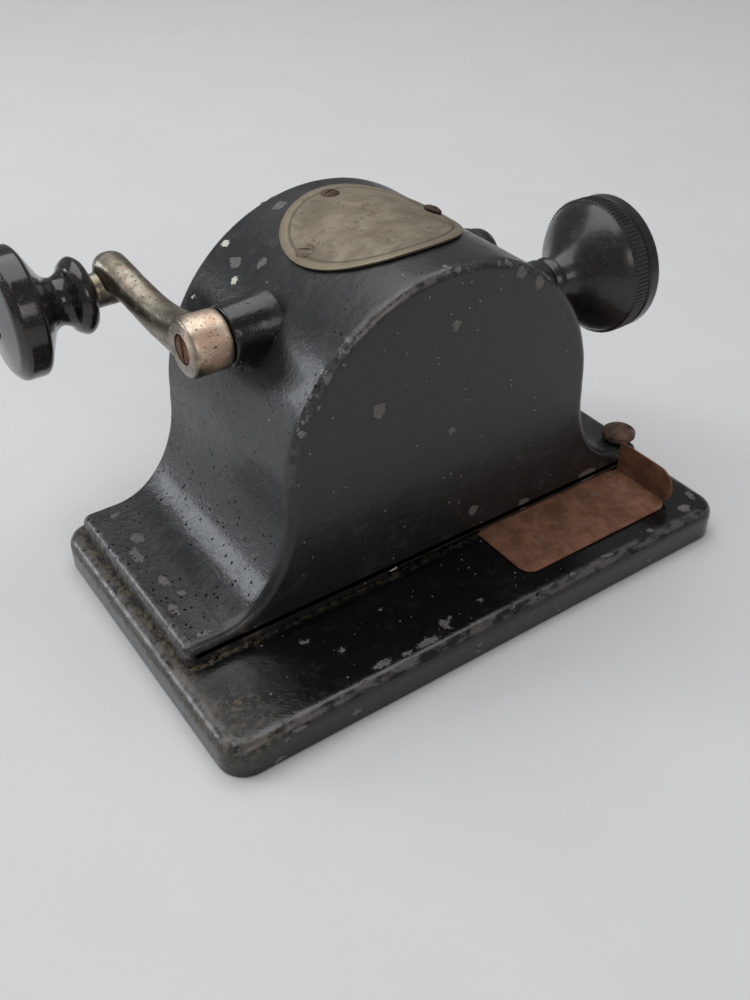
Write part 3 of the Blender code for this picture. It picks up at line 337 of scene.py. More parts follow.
def nickel(name, hub=False):
    """Old nickel plate: yellowed, pitted to dark steel; the crank's hub is worn coppery, brightened
    there as a painted highlight.
    """
    f = Finish(name)
    cloud = f.noise(9.0, detail=5.0)
    fine = f.noise(0.9, rough=0.65)
    f.colour = f.mix(cloud.step(0.36, 0.66), (0.188, 0.165, 0.127), (0.335, 0.302, 0.244))
    tan = f.noise(5.0, rough=0.62, warp=0.5, shift=(4.0, 2.0, 8.0)).step(0.52, 0.70)
    f.paint(tan, (0.30, 0.20, 0.125), share=0.7)
    f.rough = fine.scaled(0.16, plus=0.27)
    if hub:
        # worn coppery patch on the top and front of the hub, partly real wear and partly a painted
        # highlight
        patch = (-61.5, CRANK[0] - 3.0, CRANK[1] + 3.0, 6.6, 9.5, 9.5)
        worn = f.spots([patch], ragged=2.0, size=4.0).step(1.4, -1.4)
        copper_and_highlight = f.mix(cloud.step(0.40, 0.60), (0.62, 0.43, 0.31), (0.86, 0.68, 0.53))
        f.paint(worn, copper_and_highlight, share=0.92, rough=0.36)
    pit = f.pits(1.5, radius=0.46, share=0.55).max(
        f.pits(0.8, radius=0.26, share=0.50, shift=(7.0, 2.0, 4.0)))
    pit = pit * f.noise(6.0, detail=3.0, rough=0.5, shift=(1.0, 8.0, 3.0)).step(0.38, 0.60)
    if hub:
        more = f.pits(1.3, radius=0.42, share=0.75, shift=(2.0, 5.0, 5.0)).max(
            f.pits(0.9, radius=0.30, share=0.7, shift=(4.0, 1.0, 9.0)))
        pit = pit.max(
            more * worn * f.noise(3.4, detail=3.0, shift=(6.0, 6.0, 2.0)).step(0.40, 0.52))
    film = f.noise(3.6, detail=5.0, rough=0.7, shift=(9.0, 9.0, 2.0)).step(0.50, 0.68)
    if hub:
        film = film * worn.scaled(-0.6, plus=1.0)
    f.paint(film, (0.16, 0.125, 0.095), share=0.55)
    f.paint(pit, (0.035, 0.028, 0.022), share=0.9)
    metal = film.scaled(-0.25, plus=0.96)
    if hub:
        metal = worn.scaled(-0.42, plus=metal)
    f.rough = film.scaled(0.22, plus=f.rough)
    f.apply(Metallic=metal)
    f.bump(cloud.scaled(1.4, plus=fine), depth=0.09, strength=0.7)
    f.bump(-pit, depth=0.14, strength=0.9)
    return f.mat


def bakelite(name, rough, warm):
    """Black phenolic with fine handling scratches; warm is the share of brown wear."""
    f = Finish(name)

    def scratch_side(start, end):
        return f.noise(2.4, detail=2.0, rough=0.5, warp=1.2, stretch=(1.0, 0.16, 0.7)).step(
            start, end)

    cloud = f.noise(11.0)
    fine = f.noise(0.6, detail=3.0)
    scratch = scratch_side(0.487, 0.5) * scratch_side(0.513, 0.5)
    f.colour = f.mix(cloud, (0.0065, 0.0062, 0.0066), (0.014, 0.0125, 0.0125))
    dust = f.noise(3.0, detail=5.0, rough=0.7, shift=(2.0, 4.0, 4.0)).step(0.56, 0.74)
    f.paint(dust, (0.060, 0.050, 0.045), share=0.16)
    f.paint(scratch, (0.12, 0.10, 0.09), share=0.35)
    worn = f.noise(2.6, rough=0.62, shift=(6.0, 3.0, 1.0)).step(0.46, 0.66)
    f.paint(worn, (0.052, 0.030, 0.026), share=warm)
    f.paint(f.pits(4.6, radius=0.13, share=0.22), (0.16, 0.15, 0.14), share=0.5)
    f.rough = dust.scaled(0.20, plus=cloud.scaled(0.10, plus=rough))
    f.rough = scratch.scaled(0.2, plus=f.rough)
    f.apply(Metallic=0.0, Coat_Weight=0.25, Coat_Roughness=0.12)
    f.bump(fine.scaled(0.25, plus=cloud), depth=0.05, strength=0.5)
    f.bump(-scratch, depth=0.02, strength=0.4)
    return f.mat


def plate_brass():
    """Dull plate brass: grey-brown patina, rubbed rim, formless stains and light dents."""
    f = Finish("plate_patina")
    x, y, z = f.xyz
    cloud = f.noise(12.0, detail=5.0, rough=0.62, warp=0.4)
    fine = f.noise(0.8, rough=0.65)
    f.colour = f.mix(cloud.step(0.34, 0.66), (0.164, 0.134, 0.092), (0.262, 0.222, 0.160))
    blotch = f.noise(4.0, detail=5.0, rough=0.68, warp=0.6, shift=(3.0, 5.0, 7.0)).step(0.53, 0.70)
    f.paint(blotch, (0.085, 0.068, 0.048), share=0.78)
    red = f.noise(5.5, detail=3.0, rough=0.55, warp=1.4, stretch=(0.5, 1.2, 1.0),
                  shift=(8.0, 1.0, 2.0)).step(0.57, 0.68)
    crown = (ARCH_X, PLATE_Y - 2.0, ARCH_Z + ARCH_R, 15.0, 13.0, 12.0)
    middle = f.spots([crown], ragged=3.0, size=8.0).step(2.0, -4.0)
    f.paint(red * middle, (0.22, 0.085, 0.055), share=0.34)
    # distance from the plate's middle as a fraction of its radius
    s = (x - ARCH_X).atan2(z - ARCH_Z) * ARCH_R
    fraction = ((s - PLATE_S) * (1.0 / PLATE_A)).hypot((y - PLATE_Y) * (1.0 / PLATE_B))
    rim = fraction.step(0.900, 0.945)
    f.paint(rim * fine.step(0.30, 0.62, 0.45, 0.95), (0.225, 0.188, 0.128))
    groove = fraction.step(0.862, 0.885) * fraction.step(0.915, 0.895)
    f.paint(groove, (0.055, 0.042, 0.030), share=0.60)
    pit = f.pits(1.9, radius=0.24, share=0.30)
    f.paint(pit, (0.05, 0.038, 0.028), share=0.7)
    f.rough = blotch.scaled(0.14, plus=fine.scaled(0.14, plus=0.50))
    f.rough = rim.scaled(-0.08, plus=f.rough)
    f.apply(Metallic=rim.scaled(0.15, plus=blotch.scaled(-0.2, plus=0.34)))
    dents = f.noise(9.0, detail=2.0, rough=0.5, warp=0.8, shift=(1.0, 1.0, 3.0))
    f.bump(dents, depth=0.22, strength=0.55)
    f.bump(cloud.scaled(0.8, plus=fine), depth=0.06, strength=0.6)
    f.bump(-pit, depth=0.08, strength=0.8)
    return f.mat


def rust(name, dark, light, bare, metal):
    """Brown rust with powdery patches; bare is the strength of rubbed high spots."""
    f = Finish(name)
    cloud = f.noise(7.0, detail=5.0, rough=0.66, warp=0.3)
    fine = f.noise(0.7, rough=0.7)
    f.colour = f.mix(cloud.step(0.34, 0.68), dark, light)
    orange = f.noise(2.6, detail=5.0, rough=0.7, shift=(4.0, 6.0, 2.0)).step(0.58, 0.72)
    f.paint(orange, (light[0] * 1.5, light[1] * 1.25, light[2]), share=0.45)
    spot = f.noise(1.6, rough=0.65, shift=(2.0, 9.0, 5.0)).step(0.62, 0.72)
    f.paint(spot, (0.020, 0.012, 0.009), share=0.55)
    rubbed = f.noise(4.4, shift=(7.0, 1.0, 1.0)).step(0.58, 0.72) * bare
    f.paint(rubbed, (0.34, 0.28, 0.23))
    f.rough = rubbed.scaled(-0.3, plus=fine.scaled(0.2, plus=0.66))
    f.apply(Metallic=rubbed * 0.6 + metal)
    f.bump(cloud.scaled(1.0, plus=fine * 0.7), depth=0.14, strength=0.8)
    f.bump(-spot, depth=0.08, strength=0.7)
    return f.mat


def steel(name, tint, rough, along, stain, oil):
    """Turned or ground metal with tool marks stretched by along, brown stain and oil film."""
    f = Finish(name)
    marks = f.noise(0.5, detail=3.0, stretch=along)
    cloud = f.noise(6.0)
    f.colour = f.mix(cloud, tuple(c * 0.78 for c in tint), tuple(min(1.0, c * 1.15) for c in tint))
    brown = f.noise(3.4, detail=5.0, rough=0.68, warp=0.4, shift=(5.0, 2.0, 2.0)).step(0.55, 0.72)
    f.paint(brown, (0.16, 0.095, 0.055), share=stain)
    film = f.noise(8.0, detail=3.0, shift=(1.0, 5.0, 2.0)).step(0.44, 0.64)
    f.paint(film, (0.10, 0.085, 0.06), share=oil)
    pit = f.pits(1.4, radius=0.15, share=0.25)
    f.paint(pit, (0.05, 0.04, 0.03), share=0.8)
    f.rough = brown.scaled(0.25, plus=marks.scaled(0.16, plus=rough))
    f.apply(Metallic=brown.scaled(-0.4 * stain, plus=0.97))
    f.bump(marks, depth=0.035, strength=0.6)
    f.bump(-pit, depth=0.05, strength=0.8)
    return f.mat


# -------------------------------------------------------------- wear and dirt masks
def housing_edge(f):
    """Rubbed and flaked rim of the arch, heaviest at the upper left and upper right; the rubbed line
    is strengthened as a painted highlight between 92 and 127 degrees.
    """
    x, y, z = f.xyz
    dx, dz = x - ARCH_X, z - ARCH_Z
    radius = dx.hypot(dz)
    bearing = dz.atan2(dx) * (180.0 / math.pi)

    def window(low, high):
        """1 between two bearings in degrees, with soft ends."""
        return bearing.step(low - 5.0, low + 5.0) * bearing.step(high + 5.0, high - 5.0)

    away = (y - (BACK_Y + 1.0)).max(0.0) + (ARCH_R - 1.0 - radius).max(0.0)
    upper = z.step(55.0, 66.0)
    heavy, grey, rub_highlight = window(124.0, 157.0), window(44.0, 97.0), window(92.0, 127.0)
    power = heavy.scaled(26.0, plus=grey.scaled(21.0, plus=3.0))
    ragged = f.noise(4.6, rough=0.62, warp=0.4) - heavy.scaled(-0.045, plus=0.515)
    reach = ragged.scaled(power, plus=heavy.scaled(0.6, plus=0.0))
    reach = (f.noise(1.1, detail=3.0) - 0.5).scaled(1.6, plus=reach)
    narrow = heavy.scaled(-5.2, plus=8.0)
    loss = (reach.min(narrow) - away).step(0.0, 0.16) * upper
    # rubbed band, partly real wear and partly a painted highlight line, strongest in the
    # rub_highlight window
    wear = away.step(1.7, 0.3) * f.noise(3.2).step(0.36, 0.58) * rub_highlight.scaled(1.1, plus=0.50)
    wear = f.num("MULTIPLY", wear, upper, clamp=True)
    front = (FRONT_Y - y).step(2.0, 0.4) * f.noise(2.8, shift=(5.0, 1.0, 2.0)).step(0.44, 0.56)
    wear = wear.max(front * 0.8)
    # the ends of the foot are rubbed too
    foot = abs(x).step(FOOT_HALF_L - 3.4, FOOT_HALF_L - 1.2) * z.step(23.0, 20.8)
    return wear.max(foot * f.noise(2.4, rough=0.62).step(0.42, 0.60)), loss


def housing_dirt(f):
    """Yellow-brown dust low on both ends of the foot."""
    x, _, z = f.xyz
    ends = abs(x - 1.0).step(62.0, 76.0)
    return z.step(24.0, 13.0) * ends * f.noise(6.0, detail=5.0, rough=0.65).step(0.44, 0.66) * 0.75


def housing_coarse(f):
    """Coarser skin on the curved outside of the casting than on its flat back."""
    x, y, z = f.xyz
    side = y.step(BACK_Y + 2.0, BACK_Y + 4.5)
    return side * x.step(-30.0, -50.0) * z.step(80.0, 40.0, 0.45, 1.0)


def base_edge(f):
    """Rubbed top rim of the base, flaked most along the back."""
    x, y, z = f.xyz
    edge = (abs(x) - (BASE_L / 2 - 2.3)).max(abs(y) - (BASE_W / 2 - 2.3))
    rim = edge.step(-2.6, -0.2) * edge.step(2.2, 0.9) * z.step(8.8, 10.8)
    wear = rim * f.noise(3.4, stretch=(0.5, 1.0, 1.0)).step(0.38, 0.60)
    reach = (f.noise(3.6, rough=0.62) - 0.60).scaled(9.0, plus=0.0)
    loss = (reach - abs(edge + 0.4)).step(-0.1, 0.25)
    return wear, loss * z.step(6.0, 8.0) * y.step(-46.0, -56.0).scaled(0.7, plus=0.3)


def base_dirt(f):
    """Grime packed along the foot of the housing and crusted in the back left corner."""
    x, y, z = f.xyz
    beside, behind, ahead = abs(x) - FOOT_HALF_L, BACK_Y - y, y - FRONT_Y
    far = beside.max(0.0).max(behind.max(ahead).max(0.0) * 1.6)
    wall = ahead.step(-1.5, 0.2) * abs(x).step(66.0, 74.0)
    outside = beside.step(-1.8, -0.2).max(behind.step(-1.8, -0.2)).max(wall)
    crease = (f.noise(4.0) - 0.5).scaled(6.0, plus=far).step(4.2, 1.2)
    crease = crease * x.step(-60.0, -80.0, 0.35, 1.0) * f.noise(1.5, rough=0.7).step(0.40, 0.56)
    crease = crease * outside
    corner = f.spots([(-92.0, -47.0, BASE_H, 9.0, 8.0, 6.0)], ragged=4.0, size=6.0).step(2.0, -4.0)
    corner = corner * 0.95 * f.noise(1.8, detail=5.0, rough=0.72).step(0.47, 0.58)
    packed = crease.max(corner) * z.step(11.0, 12.4) * 0.85
    # scurf on the left end and round the back left corner
    scurf = x.step(-92.5, -97.5) * z.step(5.5, 9.0)
    scurf = scurf.max(x.step(-78.0, -90.0) * y.step(-46.0, -57.0) * z.step(2.0, 7.0))
    crust = f.noise(3.0, detail=5.0, rough=0.7, warp=0.4, shift=(4.0, 4.0, 1.0))
    return packed.max(scurf * 0.62 * crust.step(0.42, 0.56))


def light_edge(f):
    """Sparse wear and loss, anywhere on the piece."""
    return (f.noise(2.2, rough=0.65).step(0.68, 0.76),
            f.noise(3.1, rough=0.65, shift=(3.0, 7.0, 1.0)).step(0.735, 0.75))


# Chips as ellipsoids (x, y, z, rx, ry, rz). Some lists leave out a shared z or y.
HOUSING_CHIPS = [
    (2.9, BACK_Y, 99.5, 1.6, 2.0, 2.2), (-25.1, BACK_Y, 79.8, 2.4, 2.0, 2.9),
    (3.1, BACK_Y, 61.8, 1.2, 2.0, 1.7), (38.1, BACK_Y, 17.3, 2.7, 2.0, 2.6),
    (14.3, BACK_Y, 24.9, 2.0, 2.0, 2.2), (68.9, BACK_Y, 16.8, 4.6, 2.0, 3.2),
    (-55.5, -1.3, 45.1, 3.0, 1.7, 3.4), (-57.1, -5.5, 60.1, 2.0, 0.9, 1.1),
    (-40.3, 14.8, 100.3, 1.8, 2.4, 2.2), (-35.3, 39.7, 104.8, 2.0, 3.0, 2.0),
    (-31.4, 29.3, 107.8, 2.2, 1.6, 2.0), (-13.9, 47.0, 116.0, 3.0, 2.2, 2.0),
    (-36.5, BACK_Y, 105.6, 2.2, 2.4, 2.6), (-42.7, BACK_Y, 97.2, 1.8, 2.0, 2.2),
    (-48.7, BACK_Y, 92.2, 1.6, 2.4, 2.2), (-52.1, BACK_Y, 83.5, 1.4, 2.0, 2.6),
    (22.6, BACK_Y, 114.3, 2.0, 1.6, 1.6), (27.4, BACK_Y, 109.7, 2.4, 1.6, 2.2),
    (34.8, BACK_Y, 104.4, 2.0, 1.6, 2.6), (2.7, BACK_Y, 117.4, 1.4, 1.4, 1.2),
] + [(x, y, 20.2, rx, ry, 0.9) for x, y, rx, ry in (
    (-85.6, 48.3, 2.2, 1.2), (-84.5, 32.4, 2.4, 3.2), (-88.5, 24.0, 2.0, 4.6),
    (-86.6, 8.0, 1.6, 3.0), (-84.6, -0.5, 1.3, 1.8), (-90.0, -6.0, 1.4, 3.4),
    (-87.4, -20.9, 2.6, 1.4))]
HOUSING_PRIMER = [
    (-33.0, 50.3, 106.6, 1.5, 1.8, 1.5), (-38.8, 34.5, 101.7, 1.4, 1.3, 1.4),
    (-37.5, 17.5, 103.0, 0.9, 0.9, 0.9), (-19.2, BACK_Y, 14.0, 1.6, 1.5, 1.2),
    (-46.9, 49.0, 92.6, 0.8, 1.0, 0.9),
]
BASE_CHIPS = [(x, y, 12.5, rx, ry, 0.9) for x, y, rx, ry in (
    (-52.5, -44.3, 1.3, 1.1), (-60.3, -34.7, 1.5, 1.0), (-32.6, -36.4, 0.9, 0.8),
    (-45.8, -56.4, 3.4, 1.3), (-36.6, -57.0, 2.0, 1.0), (-28.8, -56.6, 4.2, 1.5),
    (-19.6, -53.6, 1.6, 2.3), (-16.4, -52.2, 1.1, 0.9), (-3.2, -51.2, 1.2, 0.8),
    (30.6, -59.0, 1.2, 0.8), (47.0, -58.6, 3.2, 0.9), (68.7, -57.6, 1.7, 1.0),
    (88.2, -55.5, 2.6, 2.0), (95.7, -51.5, 1.4, 2.4), (-97.6, -56.8, 0.9, 0.9),
)] + [(x, -61.9, z, rx, 0.8, rz) for x, z, rx, rz in (
    (-58.9, 4.8, 1.7, 1.0), (-54.2, 11.2, 2.2, 0.8), (-83.2, 8.7, 1.6, 0.9),
    (-85.9, 1.9, 2.0, 0.9), (-11.5, 5.8, 1.3, 1.0), (-12.1, 2.9, 1.1, 0.7),
    (23.4, 2.2, 1.0, 0.8), (66.0, 3.3, 0.9, 0.8), (-78.7, 10.0, 2.2, 0.8))]
CAST_CHIPS = [(CARRIAGE_X, 58.0, 45.0, 5.0, 1.5, 1.4), (CARRIAGE_X + 20, 57.0, 47.8, 3.0, 2.0, 1.0)]
CAP_CHIPS = [(64.0, SPINDLE[0] - 4, SPINDLE[1] + 6, 1.6, 1.6, 1.3)]

# ------------------------------------------------------------ looks: (slot, material)
HOUSING_ENAMEL = "black_enamel", enamel(
    "housing_enamel", chips=HOUSING_CHIPS, primer=HOUSING_PRIMER, edge=housing_edge,
    pitted=0.42, dirt=housing_dirt, rough=0.31, coarse=housing_coarse)
BASE_ENAMEL = "black_enamel", enamel(
    "base_enamel", chips=BASE_CHIPS, edge=base_edge, pitted=0.36, dirt=base_dirt, rough=0.16,
    depth=0.26)
CAST_ENAMEL = "black_enamel", enamel(
    "inner_enamel", chips=CAST_CHIPS, edge=light_edge, pitted=0.30, rough=0.36)
CAP_ENAMEL = "black_enamel", enamel(
    "cap_enamel", chips=CAP_CHIPS, edge=light_edge, pitted=0.30, rough=0.30)
ARM_NICKEL = "aged_nickel", nickel("crank_nickel", hub=True)
CLAMP_NICKEL = "aged_nickel", nickel("clamp_nickel")
HANDLE_BLACK = "bakelite", bakelite("handle_phenolic", rough=0.10, warm=0.35)
KNOB_BLACK = "bakelite", bakelite("knob_phenolic", rough=0.25, warm=0.18)
BRASS = "tarnished_brass", plate_brass()
TRAY_RUST = "rusty_sheet", rust(
    "tray_rust", dark=(0.120, 0.050, 0.026), light=(0.235, 0.108, 0.058), bare=0.20, metal=0.08)
SCREW_RUST = "brown_steel", rust(
    "screw_rust", dark=(0.050, 0.030, 0.022), light=(0.165, 0.100, 0.070), bare=0.7, metal=0.45)
PLATE_SCREW = "brown_steel", rust(
    "plate_screw_patina", dark=(0.110, 0.080, 0.055), light=(0.230, 0.185, 0.135), bare=0.6,
    metal=0.35)
HUB_SCREW = "brown_steel", rust(
    "hub_screw_rust", dark=(0.110, 0.050, 0.028), light=(0.330, 0.165, 0.095), bare=0.7,
    metal=0.60)
STEEL = "machined_steel", steel(
    "bright_steel", tint=(0.50, 0.495, 0.48), rough=0.26, along=(1.0, 0.12, 0.12), stain=0.5,
    oil=0.35)
TOOL_STEEL = "tool_steel", steel(
    "tool_steel_ground", tint=(0.40, 0.39, 0.38), rough=0.22, along=(0.15, 1.0, 1.0), stain=0.35,
    oil=0.25)
BRONZE = "bronze", steel(
    "bearing_bronze", tint=(0.50, 0.31, 0.13), rough=0.30, along=(1.0, 0.15, 0.15), stain=0.55,
    oil=0.45)
SPRING_STEEL = "spring_steel", steel(
    "spring_wire", tint=(0.24, 0.23, 0.22), rough=0.30, along=(1.0, 1.0, 1.0), stain=0.5, oil=0.4)


# ================================================================ outlines, profiles
def soften(profile, radius=0.3, steps=3):
    """The closed profile with each corner off the axis rounded."""
    out = []
    for i, point in enumerate(profile):
        corner = Vector(point)
        before = Vector(profile[i - 1]) - corner
        after = Vector(profile[(i + 1) % len(profile)]) - corner
        if (point[1] < 1e-6 or before.length < 1e-6 or after.length < 1e-6
                or before.angle(after) > math.radians(168)):
            out.append(point)
            continue
        cut = min(radius, 0.42 * before.length, 0.42 * after.length)
        start, end = corner + before.normalized() * cut, corner + after.normalized() * cut
        for k in range(steps + 1):
            t = k / steps
            q = start * (1 - t) ** 2 + corner * 2 * t * (1 - t) + end * t ** 2
            out.append((q.x, max(q.y, 0.0)))
    return out


def capped(points):
    """An (along, radius) profile closed to the axis by flat ends."""
    return [(points[0][0], 0), *points, (points[-1][0], 0)]


def solid(points, radius=0.3, steps=3):
    return soften(capped(points), radius, steps)


def eased(points, count):
    """A smooth curve through (along, radius) points."""
    out = []
    last = len(points) - 1
    for i in range(last):
        p0, p1, p2, p3 = (Vector(points[min(last, max(0, i + j))]) for j in (-1, 0, 1, 2))
        for k in range(count):
            t = k / count
            q = 0.5 * ((2 * p1) + (p2 - p0) * t + (2 * p0 - 5 * p1 + 4 * p2 - p3) * t * t
                       + (3 * p1 - p0 - 3 * p2 + p3) * t ** 3)
            out.append((q.x, q.y))
    out.append(points[last])
    return out


def thread(start, end, major, depth, lead, starts, per_pitch):
    """Profile rows of a screw thread, faded out over its first and last pitch."""
    pitch = lead / starts
    count = int((end - start) / pitch * per_pitch)
    rows = []
    for k in range(count + 1):
        at = start + (end - start) * k / count
        fade = min(1.0, (at - start) / pitch, (end - at) / pitch)

        def radius(angle, at=at, fade=fade):
            turn = (at / lead - angle / (2 * math.pi)) * starts
            wave = abs(2 * (turn - math.floor(turn)) - 1)
            return major - depth * fade * min(1.0, max(0.0, (wave - 0.16) * 1.5))

        rows.append((at, radius))
    return rows


def ridged(radius, depth, ridges, power):
    """Radius of a band with rounded ridges, as a function of the angle."""
    return lambda angle: radius - depth * abs(math.sin(angle * ridges / 2)) ** power


def arc(cx, cy, radius, start, end, steps):
    angles = [math.radians(start + (end - start) * k / steps) for k in range(steps + 1)]
    return [(cx + radius * math.cos(a), cy + radius * math.sin(a)) for a in angles]


def rounded_rect(x0, x1, y0, y1, r, steps):
    return (
        arc(x0 + r, y0 + r, r, 180, 270, steps) + arc(x1 - r, y0 + r, r, 270, 360, steps)
        + arc(x1 - r, y1 - r, r, 0, 90, steps) + arc(x0 + r, y1 - r, r, 90, 180, steps)
    )


def densify(outline, spacing):
    """The closed outline with extra points along its longer sides."""
    out = []
    for i, p in enumerate(outline):
        q = outline[(i + 1) % len(outline)]
        n = max(1, int(math.dist(p, q) / spacing))
        out += [(p[0] + (q[0] - p[0]) * k / n, p[1] + (q[1] - p[1]) * k / n) for k in range(n)]
    return out


def inset(outline, amount):
    """The outline moved inwards by amount along its corner bisectors."""
    n = len(outline)
    area = 0
    for i in range(n):
        (xa, ya), (xb, yb) = outline[i], outline[(i + 1) % n]
        area += xa * yb - xb * ya
    side = 1 if area > 0 else -1
    out = []
    for i in range(n):
        p, before, after = (Vector(outline[(i + j) % n]) for j in (0, -1, 1))
        edge_in, edge_out = (p - before).normalized(), (after - p).normalized()
        normal_in = Vector((-edge_in.y, edge_in.x)) * side
        normal_out = Vector((-edge_out.y, edge_out.x)) * side
        m = normal_in + normal_out
        m = m / max(0.35, m.dot(normal_in)) if m.length > 1e-6 else normal_in
        q = p + m * amount
        out.append((q.x, q.y))
    return out


# ============================================================ shapes: (points, faces)
def basis(direction):
    d = Vector(direction).normalized()
    ref = Vector((0, 0, 1)) if abs(d.z) < 0.9 else Vector((1, 0, 0))
    u = d.cross(ref).normalized()
    return d, u, d.cross(u).normalized()


def skin(rows):
    """Join rings of points; with a single point at each end it is a solid, else a tube loop."""
    verts, index = [], []
    for row in rows:
        index.append(range(len(verts), len(verts) + len(row)))
        verts += row
    pairs = list(zip(index, index[1:]))
    if len(rows[0]) > 1 or len(rows[-1]) > 1:
        pairs.append((index[-1], index[0]))
    faces = []
    for a, b in pairs:
        steps = max(len(a), len(b))
        for k in range(steps):
            n = (k + 1) % steps
            if len(a) == 1:
                faces.append([a[0], b[k], b[n]])
            elif len(b) == 1:
                faces.append([a[k], b[0], a[n]])
            else:
                faces.append([a[k], b[k], b[n], a[n]])
    return verts, faces


def turned(profile, origin, direction, steps):
    """Turn an (along, radius) profile; a radius may be a function of the angle."""
    d, u, w = basis(direction)
    o = Vector(origin)
    angles = [2 * math.pi * k / steps for k in range(steps)]
    rows = []
    for along, radius in profile:
        if not callable(radius) and radius < 1e-6:
            rows.append([o + d * along])
            continue
        rows.append([
            o + d * along
            + (u * math.cos(a) + w * math.sin(a)) * (radius(a) if callable(radius) else radius)
            for a in angles])
    return skin(rows)


def along_x(profile, yz, steps=64):
    return turned(profile, (0, *yz), (1, 0, 0), steps)


def along_y(profile, xz, steps):
    return turned(profile, (xz[0], 0, xz[1]), (0, 1, 0), steps)


def along_z(profile, xy, steps):
    return turned(profile, (*xy, 0), (0, 0, 1), steps)


def rod(x0, x1, radius, yz, steps=48):
    return along_x(capped([(x0, radius), (x1, radius)]), yz, steps)


def bar(y0, y1, radius, xz, steps=32):
    return along_y(capped([(y0, radius), (y1, radius)]), xz, steps)


def post(z0, z1, radius, xy, steps=32):
    return along_z(capped([(z0, radius), (z1, radius)]), xy, steps)


def loft(rings):
    """Join open-ended rings and close both ends."""
    n = len(rings[0])
    verts = [p for ring in rings for p in ring]
    faces = [list(range(n)), [len(verts) - n + k for k in range(n)][::-1]]
    for r in range(len(rings) - 1):
        for k in range(n):
            m = (k + 1) % n
            faces.append([r * n + m, r * n + k, (r + 1) * n + k, (r + 1) * n + m])
    return verts, faces


PLACE = {
    "x": lambda a, b, t: (t, a, b),
    "y": lambda a, b, t: (a, t, b),
    "z": lambda a, b, t: (a, b, t),
}


def prism(outline, axis, t0, t1):
    return loft([[PLACE[axis](a, b, t) for a, b in outline] for t in (t0, t1)])


def bevelled(outline, axis, t0, t1, edge, flat):
    """A prism with rounded rims and a ring of flat face inside them."""
    stops = [(edge + flat, 0.0), (edge, 0.0), (edge * 0.29, edge * 0.29), (0.0, edge)]
    levels = [(amount, t0 + depth) for amount, depth in stops]
    levels += [(amount, t1 - depth) for amount, depth in stops[::-1]]
    return loft([[PLACE[axis](a, b, t) for a, b in inset(outline, amount)]
                 for amount, t in levels])


def block(x0, x1, y0, y1, z0, z1):
    return prism([(x0, y0), (x1, y0), (x1, y1), (x0, y1)], "z", z0, z1)


def slab(origin, direction, angle, half_l, half_w, start, end):
    """A block along a direction, its long side turned by an angle about it."""
    d, u, w = basis(direction)
    o = Vector(origin)
    long_way = u * math.cos(angle) + w * math.sin(angle)
    short_way = w * math.cos(angle) - u * math.sin(angle)
    return loft([[o + d * t + long_way * half_l * i + short_way * half_w * j
                  for i, j in ((-1, -1), (1, -1), (1, 1), (-1, 1))] for t in (start, end)])


def coil(xy, z0, z1, radius, wire, turns, sides=14):
    """A compression spring whose end turns lie closer together."""
    steps = int(turns * 40)
    rings = []
    for k in range(steps + 1):
        f = k / steps
        a = 2 * math.pi * turns * f
        rise = min(1.0, max(0.0, (f - 0.8 / turns) / (1 - 1.6 / turns)))
        rise = rise * rise * (3 - 2 * rise) * 0.25 + rise * 0.75
        out = Vector((math.cos(a), math.sin(a), 0))
        up = Vector((0, 0, 1))
        middle = Vector((*xy, z0 + wire + (z1 - z0 - 2 * wire) * rise)) + out * radius
        angles = [2 * math.pi * q / sides for q in range(sides)]
        rings.append([middle + (out * math.cos(b) + up * math.sin(b)) * wire for b in angles])
    return loft(rings)


# =========================================================================== objects
def raw(shape):
    verts, faces = shape
    mesh = bpy.data.meshes.new("work")
    mesh.from_pydata([Vector(v) * MM for v in verts], [], faces)
    bm = bmesh.new()
    bm.from_mesh(mesh)
    bmesh.ops.recalc_face_normals(bm, faces=bm.faces)
    bm.to_mesh(mesh)
    bm.free()
    obj = bpy.data.objects.new("work", mesh)
    SCENE.collection.objects.link(obj)
    return obj


def carve(shape, unions=(), cuts=(), voxel=0.0, smooth=0):
    """The shape joined with others, optionally remeshed and smoothed as a casting, then cut."""
    main = raw(shape)
    helpers = []

    def add(other, operation):
        tool = raw(other)
        helpers.append(tool)
        mod = main.modifiers.new("cut", "BOOLEAN")
        mod.operation, mod.solver, mod.object = operation, "EXACT", tool

    for other in unions:
        add(other, "UNION")
    if voxel:
        mod = main.modifiers.new("cast", "REMESH")
        mod.mode, mod.voxel_size = "VOXEL", voxel * MM
        mod = main.modifiers.new("fettle", "SMOOTH")
        mod.factor, mod.iterations = 0.5, smooth
    for other in cuts:
        add(other, "DIFFERENCE")
    bpy.context.view_layer.update()
    evaluated = main.evaluated_get(bpy.context.evaluated_depsgraph_get())
    mesh = bpy.data.meshes.new_from_object(evaluated)
    for obj in helpers + [main]:
        old = obj.data
        bpy.data.objects.remove(obj, do_unlink=True)
        bpy.data.meshes.remove(old)
    return mesh


def carve_shape(shape, cuts):
    """A cut shape handed back as points in mm and faces."""
    mesh = carve(shape, cuts=cuts)
    verts = [tuple(v.co / MM) for v in mesh.vertices]
    faces = [list(p.vertices) for p in mesh.polygons]
    bpy.data.meshes.remove(mesh)
    return verts, faces


def piece(node, shape, body, look, sharp=34, weighted=True):
    """A finished piece standing for a CAD node; sharp edges start at sharp degrees."""
    slot, material = look
    if isinstance(shape, tuple):
        obj = raw(shape)
        mesh = obj.data
    else:
        mesh = shape
        obj = bpy.data.objects.new("work", mesh)
        SCENE.collection.objects.link(obj)
    obj.name = mesh.name = node + "_fine"
    mesh.materials.clear()
    mesh.materials.append(material)
    for poly in mesh.polygons:
        poly.material_index = 0
    mesh.shade_smooth()
    mesh.set_sharp_from_angle(angle=math.radians(sharp))
    if weighted:
        mod = obj.modifiers.new("even", "WEIGHTED_NORMAL")
        mod.keep_sharp = True
    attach(obj, body)
    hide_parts(node)
    return obj


